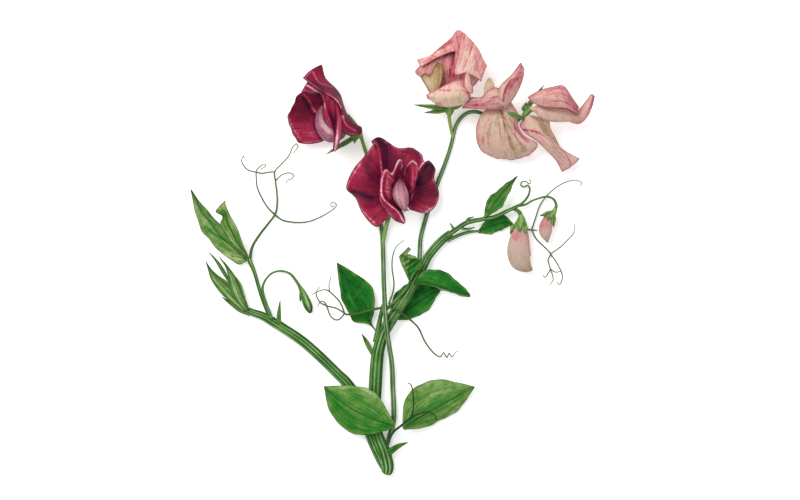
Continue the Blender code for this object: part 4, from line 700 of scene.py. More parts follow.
RIGHT_SHOOT = [
    (24.6, 8.4, 2.3, 1.1), (28.4, 10.9, 2.7, 1.1), (33.3, 14.0, 2.9, 1.1), (40.5, 15.6, 3.2, 1.0),
    (45.9, 16.6, 3.4, 0.95), (50.4, 18.7, 3.4, 0.9), (54.6, 20.7, 3.2, 0.8), (58.1, 22.6, 2.8, 0.62),
    (60.8, 25.7, 2.2, 0.5), (61.7, 29.0, 1.6, 0.42), (60.8, 30.8, 1.0, 0.36), (59.2, 30.0, 0.8, 0.34),
    (57.7, 30.8, 0.9, 0.32), (58.2, 32.3, 1.4, 0.3), (60.0, 32.5, 2.2, 0.28), (61.4, 31.4, 3.2, 0.26),
    (62.1, 32.4, 3.4, 0.24), (61.3, 33.6, 3.2, 0.2)]
SHOOT_LEAF_STALK = [(24.3, 5.6, 2.0, 0.75), (29.2, 8.1, 1.9, 0.8), (34.2, 9.7, 1.5, 0.7),
                    (39.2, 10.2, 1.1, 0.5)]
SHOOT_TEETH = [
    [(27.6, 10.4, 3.4, 0.7), (26.8, 12.0, 3.6, 0.55), (25.6, 13.9, 3.4, 0.2)],
    [(33.2, 13.6, 3.4, 0.8), (33.8, 15.6, 3.4, 0.6), (36.6, 16.6, 3.2, 0.2)],
    [(40.4, 15.6, 3.8, 0.7), (41.6, 17.0, 4.4, 0.55), (42.6, 18.2, 4.8, 0.4)],
    [(30.4, 11.6, 3.2, 0.6), (33.4, 11.0, 3.0, 0.6), (37.0, 11.8, 2.8, 0.25)]]
FRONT_STALK = [
    (-3.6, -90.0, 2.4, 0.8), (-2.0, -83.5, 1.9, 1.1), (0.2, -75, 1.4, 1.15), (-0.2, -60.5, 1.5, 1.15),
    (-0.6, -50, 3.4, 1.15), (-1.9, -41, 6.0, 1.1), (-2.9, -34, 6.7, 1.1), (-3.6, -26, 6.6, 1.1),
    (-4.2, -14, 5.0, 1.1), (-4.5, -4, 2.8, 1.1), (-4.8, 6, 1.5, 1.05), (-5.6, 14, 1.4, 1.0),
    (-7.6, 26, 1.4, 0.95), (-10.4, 39, 1.3, 0.9), (-12.4, 46, 1.6, 0.85), (-13.2, 48.6, 2.2, 0.8)]
BACK_STALK = [
    (11.8, -4.6, 2.4, 1.0), (12.0, 2.0, 1.2, 1.0), (12.4, 7.0, 1.1, 1.0), (13.7, 12.4, 1.1, 1.0),
    (16.0, 20, 1.1, 1.0), (20.0, 31.7, 1.1, 1.0), (23.4, 40.6, 1.1, 0.95), (26.1, 48.8, 1.1, 0.9),
    (27.9, 56.5, 1.2, 0.9), (29.9, 60.4, 1.4, 0.9), (32.9, 63.2, 1.6, 0.9), (36.0, 64.1, 1.8, 0.9),
    (39.1, 63.7, 1.6, 0.85), (44.5, 61.8, 1.1, 0.8), (50, 60.4, 1.0, 0.75), (57.0, 59.9, 1.6, 0.65)]


# %% Making the stems
def stem(name, routes, finish, slot, **sizes):
    """Sweep the routes into one mesh and settle it in the node's place."""
    return settle(name, swept_mesh(name, routes, finish, **sizes), finish)


WINGED = {"Wing reach": 0.5, "Ridge depth": 0.05, "Ridges": 7.0, "Sides": 42}
PLAIN = {"Wing reach": 0.0, "Ridge depth": 0.06, "Ridges": 5.0, "Sides": 30}
stem("main_stem", [MAIN_STEM, *LEAF_STALKS], STEM, "stem", **WINGED)
stem("left_branch", [LEFT_BRANCH], STEM, "stem", **WINGED)
stem("left_side_shoot", [SIDE_SHOOT], STEM, "stem", **PLAIN)
stem("right_shoot", [RIGHT_SHOOT, SHOOT_LEAF_STALK, *SHOOT_TEETH], STEM, "stem", step=0.8, **PLAIN)
stem("front_flower_stalk", [FRONT_STALK], STALK, "flower_stalk", **PLAIN)
stem("back_flower_stalk", [BACK_STALK], STALK, "flower_stalk", **PLAIN)

# %% [markdown]
# ## Tendrils
# A tendril is the tip of a leaf turned to a thin branching cord, which curls when it touches something. The
# same tree sweeps it with no wings, and each branch is thinner than the one that it leaves.

# %% Tendril routes
TENDRILS = {
    "tendril_far_left": [
        [(-64.7, -3.4, 2.0, 0.75), (-63.5, 2.9, 2.2, 0.62), (-60.3, 8.3, 1.8, 0.56), (-56.9, 12.8, 1.2, 0.5),
         (-53.4, 17.5, 0.8, 0.46), (-52.4, 21.4, 0.7, 0.4), (-52.4, 26.8, 0.8, 0.36),
         (-53.1, 32.4, 1.0, 0.34), (-53.4, 36.9, 1.2, 0.3), (-50.4, 40.3, 1.2, 0.28),
         (-47.2, 43.9, 1.0, 0.26), (-45.5, 47.7, 0.8, 0.24), (-43.8, 49.5, 0.6, 0.22),
         (-43.0, 48.2, 0.5, 0.2), (-45.0, 45.2, 1.6, 0.18)],
        [(-53.4, 36.9, 1.2, 0.3), (-56.2, 36.7, 1.0, 0.3), (-59.0, 36.2, 0.8, 0.28), (-61.6, 36.7, 0.7, 0.26),
         (-65.2, 37.6, 0.7, 0.25), (-67.0, 39.1, 0.7, 0.24), (-68.4, 41.6, 0.8, 0.22),
         (-67.7, 43.9, 1.0, 0.2), (-66.8, 42.8, 1.3, 0.18)],
        [(-53.4, 17.5, 0.8, 0.4), (-56.7, 20.9, 0.7, 0.34), (-59.2, 25.0, 0.9, 0.32), (-61.2, 29.5, 1.4, 0.3),
         (-61.7, 33.5, 1.9, 0.28), (-61.7, 37.1, 2.0, 0.26), (-60.3, 39.0, 1.8, 0.24),
         (-58.2, 40.4, 1.6, 0.22), (-57.6, 39.4, 1.8, 0.2), (-59.9, 37.9, 2.0, 0.18)],
        [(-53.4, 17.5, 0.8, 0.4), (-50.0, 15.1, 0.7, 0.36), (-45.9, 14.2, 0.6, 0.34),
         (-41.6, 14.0, 0.6, 0.32), (-37.4, 14.6, 0.6, 0.3), (-32.9, 16.4, 0.7, 0.28),
         (-28.8, 18.7, 0.8, 0.26), (-26.4, 20.4, 0.9, 0.24), (-25.6, 22.0, 1.0, 0.23),
         (-26.8, 23.2, 1.1, 0.22), (-28.2, 22.4, 1.2, 0.21), (-27.6, 21.0, 1.4, 0.2),
         (-26.4, 21.6, 1.6, 0.18)],
        [(-53.1, 32.8, 1.0, 0.28), (-50.4, 35.3, 1.2, 0.26), (-47.4, 36.4, 1.4, 0.25),
         (-45.1, 35.6, 1.5, 0.24), (-45.6, 33.8, 1.6, 0.22), (-47.6, 33.2, 1.7, 0.2),
         (-48.4, 31.6, 1.6, 0.18)]],
    "tendril_middle_left": [
        [(-3.6, -24.2, 4.4, 0.6), (-9.9, -25.4, 4.6, 0.52), (-14.8, -26.8, 4.4, 0.46),
         (-19.8, -27.5, 3.4, 0.42), (-21.8, -27.0, 2.8, 0.4), (-22.9, -24.1, 2.6, 0.34),
         (-24.8, -20.9, 2.4, 0.32), (-28.8, -17.1, 2.0, 0.3), (-31.1, -16.4, 1.8, 0.26),
         (-34.2, -17.3, 1.4, 0.22), (-36.6, -18.7, 1.0, 0.18)],
        [(-28.6, -17.3, 2.0, 0.26), (-28.9, -14.2, 1.8, 0.22), (-27.9, -10.1, 1.4, 0.18)],
        [(-21.8, -27.0, 2.8, 0.36), (-25.7, -24.7, 1.8, 0.32), (-29.7, -23.7, 1.2, 0.3),
         (-32.9, -22.1, 1.0, 0.28), (-34.4, -19.6, 1.2, 0.26), (-34.6, -17.3, 1.4, 0.22),
         (-33.2, -15.1, 1.8, 0.18)],
        [(-21.8, -27.0, 2.8, 0.36), (-23.9, -29.5, 1.8, 0.34), (-26.1, -29.9, 1.0, 0.3),
         (-28.4, -28.1, 0.8, 0.28), (-29.7, -24.5, 0.9, 0.28), (-31.0, -21.9, 0.9, 0.26),
         (-32.8, -21.8, 1.0, 0.22), (-34.2, -24.1, 0.8, 0.18)]],
    "tendril_middle_right": [
        [(-2.6, -23.8, 6.0, 0.55), (1.4, -25.4, 6.6, 0.48), (5.4, -28.1, 5.0, 0.44), (8.8, -30.8, 3.2, 0.42),
         (11.7, -34.0, 1.8, 0.4), (14.4, -39.8, 0.8, 0.36), (18.0, -44.6, 0.6, 0.32),
         (21.2, -46.6, 0.6, 0.28), (22.9, -44.8, 0.9, 0.26), (24.3, -47.0, 0.6, 0.25),
         (25.4, -45.0, 0.9, 0.24), (26.7, -46.8, 0.6, 0.22), (28.2, -44.7, 0.8, 0.2),
         (29.4, -44.3, 0.7, 0.18)]],
    "tendril_upright": [
        [(-2.0, -23.0, 4.8, 0.42), (0.0, -17.3, 4.0, 0.36), (0.4, -12.8, 3.2, 0.32), (-0.4, -7.0, 2.4, 0.3),
         (-0.2, -1.6, 1.8, 0.28), (1.4, 2.9, 1.4, 0.22), (5.0, 6.1, 1.0, 0.18)]],
    "tendril_shoot": [
        [(53.4, 13.2, 1.0, 0.42), (58.0, 11.2, 0.6, 0.36), (62.6, 10.6, 0.6, 0.34), (65.3, 10.6, 0.5, 0.2)],
        [(62.6, 10.6, 0.6, 0.3), (64.4, 16.2, 0.6, 0.3), (66.2, 21.4, 0.6, 0.28), (69.3, 25.9, 0.6, 0.26),
         (72.5, 29.0, 0.7, 0.25), (77.2, 31.9, 0.9, 0.24), (81.9, 33.1, 0.9, 0.22), (85.2, 32.0, 0.8, 0.2),
         (84.2, 30.4, 0.7, 0.17)],
        [(62.6, 10.6, 0.6, 0.3), (64.8, 6.5, 0.6, 0.3), (68.4, 2.9, 0.6, 0.3), (71.1, -0.2, 0.6, 0.3),
         (70.0, -2.9, 0.6, 0.27), (71.1, -7.0, 0.6, 0.26), (72.3, -11.5, 0.6, 0.22),
         (70.9, -14.2, 0.6, 0.18)],
        [(71.1, -0.2, 0.6, 0.27), (75.6, 2.9, 0.9, 0.27), (78.8, 6.1, 1.0, 0.25), (81.5, 9.2, 1.0, 0.22),
         (81.9, 13.3, 0.9, 0.18)],
        [(71.1, -0.2, 0.6, 0.26), (73.4, -3.4, 0.8, 0.26), (75.6, -7.4, 0.9, 0.26), (76.5, -10.6, 0.8, 0.24),
         (75.4, -13.9, 0.7, 0.22), (73.8, -12.8, 0.7, 0.18)],
        [(71.1, -7.0, 0.6, 0.26), (68.9, -10.6, 0.6, 0.22), (67.6, -9.8, 0.6, 0.18)],
        [(71.1, -7.0, 0.6, 0.24), (73.4, -8.4, 0.8, 0.22), (75.9, -8.0, 0.9, 0.18)]],
    "tendril_base": [
        [(-3.2, -86.4, 5.4, 0.7), (0.0, -80.6, 7.0, 0.55), (3.0, -78.0, 8.4, 0.5), (8.1, -74.0, 7.6, 0.44),
         (11.7, -72.2, 7.2, 0.34), (15.8, -71.3, 7.0, 0.3), (18.6, -72.6, 6.8, 0.25),
         (19.6, -75.4, 6.4, 0.2)],
        [(8.1, -74.0, 7.6, 0.4), (9.2, -69.1, 7.4, 0.34), (9.0, -62.8, 7.0, 0.3), (8.1, -59.2, 6.8, 0.25),
         (6.6, -58.2, 6.6, 0.2)]],
}
CORD = {"Wing reach": 0.0, "Ridge depth": 0.03, "Ridges": 4.0, "Sides": 12}
for name, routes in TENDRILS.items():
    stem(name, routes, OLD_TENDRIL if name == "tendril_base" else TENDRIL, "tendril", step=0.45, **CORD)

# %% [markdown]
# ## Leaflets
# A sweet pea's leaf is a pair of leaflets on a short stalk. Each is an oval blade with a midrib and a few
# main veins that leave its base and curve towards its tip. The blade is lofted across its midrib, and each
# main vein is sunk a little and drawn darker, because a sunk line catches less light.

# %% Leaflet data, as (x, y, z, left, right, left lift, right lift) along the midrib
LEAFLETS = {
    "leaflet_base_left": [
        (0.9, -77.7, 7.4, 0.7, 0.7, 0, 0), (-3.5, -76.4, 7.2, 4.2, 5.0, -0.4, 0.2),
        (-9.5, -74.3, 6.8, 8.0, 9.8, -1.8, -0.2), (-16.5, -71.2, 6.2, 9.8, 11.8, -3.2, -1.4),
        (-22.8, -67.2, 5.0, 7.6, 9.2, -3.4, -0.6), (-27.6, -63.4, 3.4, 4.0, 5.0, -2.2, -0.4),
        (-31.2, -60.0, 1.8, 0.2, 0.2, 0, 0)],
    "leaflet_base_right": [
        (4.6, -79.0, 5.2, 0.7, 0.6, 0, 0), (10.0, -75.2, 4.8, 9.3, 4.4, -0.4, -1.6),
        (17.0, -71.0, 4.2, 12.8, 6.0, -1.0, -2.6), (24.0, -67.0, 3.8, 11.4, 6.4, -1.6, -2.8),
        (31.0, -63.4, 3.6, 6.4, 3.8, -1.4, -1.8), (36.8, -60.2, 3.2, 0.3, 0.3, 0, 0)],
    "leaflet_left": [
        (-7.0, -36.0, 1.9, 0.4, 0.4, 0, 0), (-10.2, -31.6, 1.7, 0.8, 0.7, 0, 0),
        (-12.6, -27.6, 1.8, 6.2, 4.8, -0.6, 0.8), (-15.2, -22.6, 2.0, 6.4, 7.8, -1.2, 0.6),
        (-18.0, -17.0, 2.2, 6.0, 7.8, -1.2, 0.4), (-21.2, -11.2, 2.4, 3.8, 4.8, -0.6, 0.4),
        (-25.2, -4.2, 2.6, 0.2, 0.2, 0, 0)],
    "leaflet_behind_stem": [
        (-0.6, -29.6, 0.8, 0.6, 0.6, 0, 0), (4.2, -26.8, 0.8, 8.0, 3.6, 0.3, 0.1),
        (9.5, -23.4, 0.8, 10.0, 5.4, 0.4, 0.1), (14.5, -20.2, 0.9, 8.6, 4.6, 0.2, 0.3),
        (18.6, -17.6, 1.0, 4.8, 2.4, 0.2, 0.3), (22.0, -15.4, 1.2, 0.3, 0.3, 0, 0)],
    "leaflet_folded": [
        (9.6, -13.8, 6.8, 0.5, 0.4, 0, -0.3), (13.6, -13.0, 7.6, 5.0, 0.8, 0.6, -2.2),
        (17.8, -13.8, 8.2, 7.0, 1.0, 0.4, -3.4), (22.0, -15.2, 8.4, 6.8, 1.0, -0.6, -3.8),
        (26.6, -16.7, 7.6, 5.2, 0.8, -1.4, -3.2), (31.0, -18.3, 6.0, 3.2, 0.6, -1.4, -2.0),
        (34.8, -19.2, 4.4, 0.5, 0.3, -0.3, -0.3)],
    "leaflet_far_left": [
        (-64.9, -3.0, 2.6, 0.7, 0.8, 0, 0), (-68.2, -0.8, 2.4, 1.2, 1.4, -0.3, 0.1),
        (-71.2, 1.8, 2.2, 4.0, 2.2, -1.2, 0.4), (-76.0, 6.0, 2.2, 5.2, 3.4, -1.7, 0.6),
        (-79.0, 9.2, 2.3, 4.6, 3.6, -1.6, 0.7), (-81.6, 12.6, 2.4, 5.6, 3.2, -1.5, 0.8),
        (-85.0, 17.5, 2.8, 3.8, 2.2, -0.8, 0.6),
        (-88.5, 23.5, 3.2, 1.8, 0.9, -0.2, 0.3), (-91.2, 29.0, 3.6, 0.2, 0.2, 0, 0)],
    "leaflet_shoot_upper": [
        (41.6, 16.8, 4.9, 0.5, 0.5, 0, 0), (44.0, 20.2, 5.0, 3.0, 2.8, 0.5, 0.3),
        (46.5, 23.7, 5.2, 3.4, 3.6, 0.8, 0.2), (49.6, 27.6, 5.0, 2.5, 2.9, 0.7, 0.2),
        (53.0, 31.4, 4.6, 1.3, 1.1, 0.3, 0.1), (56.2, 35.0, 4.2, 0.2, 0.2, 0, 0)],
    "leaflet_shoot_lower": [
        (38.4, 9.6, 1.0, 0.5, 0.5, 0, 0), (42.0, 11.3, 0.9, 2.8, 2.8, 0.3, -0.1),
        (46.0, 12.9, 0.9, 4.2, 3.4, 0.4, -0.1), (50.0, 13.8, 0.9, 3.8, 2.6, 0.4, 0.0),
        (54.4, 13.2, 1.0, 0.2, 0.2, 0, 0)],
    "stipule_left_branch": [
        (-51.6, -31.4, 3.2, 1.1, 1.1, 0, 0), (-51.4, -26.8, 3.6, 0.9, 0.9, 0, 0),
        (-50.9, -20.9, 3.4, 0.15, 0.15, 0, 0)],
    "stipule_main_stem": [
        (-8.6, -46.6, 2.8, 0.7, 0.7, 0, 0), (-11.4, -41.0, 2.8, 1.1, 1.1, 0, 0),
        (-14.2, -36.0, 2.6, 0.15, 0.15, 0, 0)],
    "stipule_base": [
        (-2.0, -89.8, 3.6, 1.6, 1.6, 0, 0), (2.6, -86.9, 3.4, 1.2, 1.0, 0, 0),
        (6.8, -85.2, 3.0, 0.15, 0.15, 0, 0)],
}
# Tones at the left margin, the midrib and the right margin, and what is added by the tip.
LEAF_TONES = {
    "leaflet_base_left": (0.50, 0.42, 0.72, -0.02), "leaflet_base_right": (0.66, 0.52, 0.66, 0.04),
    "leaflet_left": (0.22, 0.14, 0.27, 0.02), "leaflet_behind_stem": (0.24, 0.14, 0.26, 0.0),
    "leaflet_folded": (0.30, 0.30, 0.95, -0.04), "leaflet_far_left": (0.78, 0.68, 0.64, 0.06),
    "leaflet_shoot_upper": (0.56, 0.56, 0.62, -0.08), "leaflet_shoot_lower": (0.46, 0.40, 0.60, -0.14),
    "stipule_left_branch": (0.5, 0.4, 0.5, 0.0), "stipule_main_stem": (0.6, 0.5, 0.6, 0.0),
    "stipule_base": (0.3, 0.3, 0.36, -0.1),
}


# %% Making the leaflets
def leaflet_cage(stations, tones):
    """Rows across the midrib, with a tone at each point."""
    at_left, at_middle, at_right, by_tip = tones
    rows = []
    for i, (x, y, z, left, right, lift_left, lift_right) in enumerate(stations):
        before, after = stations[max(i - 1, 0)], stations[min(i + 1, len(stations) - 1)]
        along = np.array([after[0] - before[0], after[1] - before[1]])
        side_x, side_y = -along[1] / np.hypot(*along), along[0] / np.hypot(*along)
        tip = by_tip * i / (len(stations) - 1)
        spread = ((left, lift_left, at_left), (left / 2, lift_left * 0.35, (at_left + at_middle) / 2),
                  (0, 0, at_middle), (-right / 2, lift_right * 0.35, (at_right + at_middle) / 2),
                  (-right, lift_right, at_right))
        rows.append([(x + side_x * reach, y + side_y * reach, z + lift, tone + tip)
                     for reach, lift, tone in spread])
    return rows


LEAF_THICKNESS = 0.32
MAIN_VEINS = (0.9, 1.45, 2.0, 2.5, 3.15)    # columns of a leaflet's cage, whose midrib is column 2
# Some leaflets are creased: painted shade draws a dark line in a crease between two veins, and painted sheen
# a pale olive band.
LEAF_SHADE_AND_SHEEN_LINES = {
    "leaflet_base_right": [
        ([(6.4, -77.6), (10.0, -70.4), (15.6, -63.4)], 0.35, -0.2),
        ([(10.6, -74.8), (17.6, -67.2), (25.0, -60.6)], 0.35, -0.16),
        ([(18.0, -71.4), (25.6, -66.4), (32.0, -62.0)], 0.35, -0.2),
        ([(14.0, -76.0), (22.0, -73.6), (28.6, -68.4)], 0.35, -0.2)],
    "leaflet_base_left": [
        ([(-29.0, -61.4), (-22.0, -60.2), (-14.0, -60.6), (-8.0, -65.4)], 0.9, 0.16),
        ([(-4.0, -74.0), (-10.0, -68.6), (-18.0, -64.6)], 0.4, -0.16),
        ([(-6.0, -79.0), (-14.0, -79.4), (-22.0, -74.6)], 0.5, -0.2)],
    "leaflet_far_left": [
        ([(-68.0, 0.6), (-72.6, 4.4), (-79.6, 8.0), (-84.6, 12.0)], 0.5, -0.3),
        ([(-73.0, 1.0), (-79.6, 4.8), (-84.4, 10.0)], 0.5, -0.14),
        ([(-80.0, 12.8), (-85.6, 17.4), (-88.4, 22.4)], 0.4, -0.3)],
    "leaflet_shoot_upper": [([(43.4, 17.6), (47.8, 21.6), (50.4, 25.4)], 0.7, -0.24)],
    "leaflet_left": [([(-12.8, -26.0), (-17.0, -24.0), (-20.4, -17.8)], 0.5, 0.14)],
}
BROAD = dict(across=10, ruffle=(0.35, 2.0), groove=0.22, veins=MAIN_VEINS, wobble=0.4)
NARROW = dict(across=4, veins=(2.0,))
for seed, (name, stations) in enumerate(LEAFLETS.items()):
    shape = NARROW if name.startswith("stipule") else BROAD
    parts = [blade(leaflet_cage(stations, LEAF_TONES[name]), along=9, thickness=LEAF_THICKNESS,
                   shade_and_highlight_lines=LEAF_SHADE_AND_SHEEN_LINES.get(name, ()), seed=seed + 1.0, **shape)]
    if name == "leaflet_far_left":          # a pale strip of its other half shows below it
        parts.append(blade([[(-65.6, -2.8, 1.9, 0.9), (-65.9, -3.3, 1.7, 0.9)],
                            [(-68.8, -0.8, 1.5, 0.95), (-69.5, -5.0, 1.2, 0.8)],
                            [(-73.0, 0.6, 1.3, 1.0), (-73.2, -2.8, 1.1, 0.8)],
                            [(-77.2, 0.9, 1.3, 0.9), (-77.6, 0.2, 1.2, 0.8)]], along=8, across=8, seed=3.0))
    piece(name, parts, LEAF)

# %% [markdown]
# ## Leaflets that curl
# Two leaflets aren't flat. The one by the back stalk is folded over at its tip and crumpled, and the one at
# the far left is turned on its edge. Rows across a midrib can't fold back, so their cages are listed in full.

# %% Curled and turned leaflets, as cages of (x, y, z, tone)
CURLED_LEAFLET = [
    [(7.2, -12.4, 6.4, 0.7), (7.8, -12.3, 6.5, 0.6), (8.5, -12.2, 6.4, 0.6)],
    [(4.9, -7.5, 7.5, 0.8), (7.2, -8.0, 6.6, 0.34), (9.9, -8.8, 7.6, 0.45)],
    [(3.4, -4.2, 9.5, 0.85), (7.8, -4.8, 7.4, 0.4), (12.8, -5.8, 9.0, 0.3)],
    [(2.8, -2.0, 11.0, 0.7), (7.8, -0.7, 10.2, 0.6), (12.0, -2.6, 11.0, 0.3)],
    [(3.0, -0.9, 12.0, 0.3), (4.9, -1.2, 12.3, 0.45), (7.0, -1.9, 12.2, 0.6)],
    [(4.6, 0.6, 12.6, 0.5), (5.4, 0.1, 12.8, 0.95), (6.3, -0.5, 12.5, 1.1)],
    [(6.9, 3.0, 12.0, 0.9), (7.6, 2.5, 12.1, 1.15), (8.3, 1.9, 11.8, 1.15)]]
# Its blade is crumpled crosswise, with painted shade as a dark line in each crease and a painted highlight as
# a pale line on each ridge.
CURLED_SHADE_AND_HIGHLIGHTS = [
    ([(4.8, -3.2), (9.1, -0.9)], 0.32, -0.34), ([(5.4, -5.7), (10.3, -2.0)], 0.32, -0.4),
    ([(6.5, -7.5), (11.7, -4.0)], 0.32, -0.34), ([(7.4, -9.5), (12.0, -6.0)], 0.32, -0.3),
    ([(5.0, -4.5), (9.8, -1.4)], 0.4, 0.3), ([(6.0, -6.6), (11.0, -3.0)], 0.4, 0.26),
    ([(7.0, -8.5), (11.9, -5.0)], 0.4, 0.2)]
TURNED_LEAFLET = [
    [(-66.0, -1.4, 3.8, 0.7), (-65.6, -1.2, 4.0, 0.6), (-65.2, -1.0, 3.8, 0.6)],
    [(-71.2, 3.2, 5.8, 0.95), (-69.4, 4.0, 5.3, 0.6), (-67.7, 4.4, 5.8, 0.7)],
    [(-75.4, 8.8, 7.0, 0.8), (-72.6, 9.9, 6.2, 0.6), (-69.8, 10.6, 7.0, 0.86)],
    [(-77.8, 13.2, 8.2, 0.7), (-74.8, 14.5, 7.0, 0.6), (-72.0, 15.0, 7.8, 0.95)],
    [(-76.8, 16.6, 8.8, 0.6), (-75.4, 18.0, 8.2, 0.6), (-73.8, 18.6, 8.6, 1.0)],
    [(-79.8, 18.9, 9.6, 0.72), (-77.4, 21.0, 9.2, 0.86), (-75.2, 22.0, 8.9, 0.95)],
    [(-76.4, 23.0, 9.4, 0.8), (-75.9, 23.5, 9.4, 0.8), (-75.4, 23.9, 9.3, 0.8)]]
for name, cage, shade_and_highlight_lines in (("leaflet_curled", CURLED_LEAFLET, CURLED_SHADE_AND_HIGHLIGHTS),
                            ("leaflet_turned", TURNED_LEAFLET, ())):
    piece(name, [blade(cage, along=9, across=16, thickness=LEAF_THICKNESS, ruffle=(0.2, 2.0),
                       veins=(0.5, 1.0, 1.5), groove=0.2, shade_and_highlight_lines=shade_and_highlight_lines, seed=5.0)], LEAF)

# %% [markdown]
# ## Buds
# The buds at the right have coloured petals wrapped tight, with the closed margin as a fine brown line. The
# green ones at the left are still shut in their calyx, which shows as ridges that meet in long points. All
# are pods, and the tone of each is a small rule of the share along it and the turn round it.


# %% Making the buds
def spot_of(v, turn, at, around, size=0.16, spread=0.12):
    """A soft round patch on a pod, 1 in its middle."""
    return np.exp(-((v - at) / size) ** 2 - ((turn - around) / spread) ** 2)


def big_bud_blush(v, turn):
    rosy = 0.38 + 0.36 * spot_of(v, turn, 0.28, 0.2, 0.14, 0.16) + 0.16 * spot_of(v, turn, 0.5, 0.42,
                                                                                  0.4, 0.1)
    return rosy - 0.3 * np.clip((v - 0.72) / 0.28, 0, 1)


def cord(stations, **settings):
    """A round pod through (x, y, z, radius), for a short stalk."""
    return pod([(*point, point[3]) for point in stations], sides=16, **settings)


def small_bud_blush(v, turn):
    return 0.76 - 0.1 * spot_of(v, turn, 0.3, 0.4, 0.3, 0.1) - 0.6 * np.clip((v - 0.35) / 0.65, 0, 1)


def green_blush(v, turn):
    return 0.46 + 0.2 * np.sin(2 * pi * (turn * 4 + v * 0.3)) - 0.35 * np.clip((v - 0.6) / 0.4, 0, 1)


piece("big_bud_petals", [pod([
    (57.7, 13.2, 3.8, 2.2, 1.8), (57.4, 10.4, 3.8, 3.5, 2.4), (57.0, 6.6, 3.9, 4.5, 3.0),
    (56.7, 1.4, 3.9, 5.3, 3.4), (57.7, -3.2, 3.7, 5.0, 3.1), (60.4, -6.2, 3.4, 2.8, 1.6),
    (62.8, -7.4, 3.2, 0.5, 0.5)], cuts=8, sides=48, seams=(0.02, 0.64), groove=0.12, blush=big_bud_blush)],
    BUD_PETAL)
piece("small_bud_petals", [pod([
    (70.1, 17.0, 3.5, 1.4, 1.3), (69.6, 15.2, 3.5, 2.3, 1.9), (68.9, 11.8, 3.3, 3.1, 2.5),
    (68.9, 9.0, 3.2, 2.8, 2.4), (69.3, 6.8, 3.1, 1.6, 1.5), (69.7, 4.9, 3.0, 0.3, 0.3)],
    cuts=8, sides=40, seams=(0.02, 0.48), groove=0.1, blush=small_bud_blush, seed=1.0)], BUD_PETAL)
GREEN_BUDS = {
    "tip_bud_upper": [(-65.6, -25.6, 2.4, 0.9, 0.8), (-68.8, -20.4, 2.8, 2.4, 1.5),
                      (-71.0, -15.0, 2.7, 2.9, 1.6), (-73.2, -9.6, 2.6, 1.4, 1.0),
                      (-75.4, -5.4, 2.4, 0.6, 0.5), (-78.5, -1.6, 2.2, 0.15, 0.15)],
    "tip_bud_middle": [(-73.4, -13.6, 1.0, 0.6, 0.4), (-77.2, -7.2, 1.2, 0.9, 0.6),
                       (-80.0, -3.0, 1.4, 0.6, 0.4), (-83.1, 0.5, 1.4, 0.15, 0.15)],
    "tip_bud_lower": [(-67.0, -25.8, 1.8, 0.9, 0.9), (-72.2, -20.0, 1.7, 2.4, 1.3),
                      (-76.4, -15.2, 1.7, 2.9, 1.4), (-80.6, -10.8, 1.6, 1.9, 1.1),
                      (-82.8, -7.2, 1.5, 0.8, 0.6), (-84.6, -3.4, 1.4, 0.15, 0.15)],
    "tip_bract": [(-64.6, -27.6, 1.2, 0.7, 0.5), (-69.0, -25.6, 1.2, 1.0, 0.5), (-73.0, -22.8, 1.2, 0.8, 0.4),
                  (-77.2, -19.7, 1.2, 0.15, 0.15)],
}
for seed, (name, stations) in enumerate(GREEN_BUDS.items()):
    piece(name, [pod(stations, cuts=8, sides=36, seams=(0.12, 0.25, 0.38), groove=0.12, blush=green_blush,
                     seed=seed)], GREEN_BUD)

# %% [markdown]
# ## Calyces
# A calyx is the green cup that held the bud, with five pointed teeth round its mouth, on a short stalk. The
# teeth are thin blades whose roots start inside the cup, so no gap shows between them.


# %% A tooth
def tooth(root, tip, width=1.2, tone=0.5):
    """A pointed blade from its root to its tip, a little arched."""
    root, tip = np.array(root), np.array(tip)
    side = np.cross(tip - root, (0.0, 0.0, 1.0))
    side /= np.linalg.norm(side)
    rows = []
    for t, share, arch in ((0.0, 0.8, 0.0), (0.3, 1.0, 0.35), (0.65, 0.6, 0.3), (1.0, 0.06, 0.0)):
        middle = root + (tip - root) * t
        rows.append([(*(middle - side * width * share), tone), (*(middle + (0, 0, arch)), tone - 0.14),
                     (*(middle + side * width * share), tone + 0.1)])
    return blade(rows, along=7, across=5, thickness=0.4, veins=(1.0,), seed=root[0])


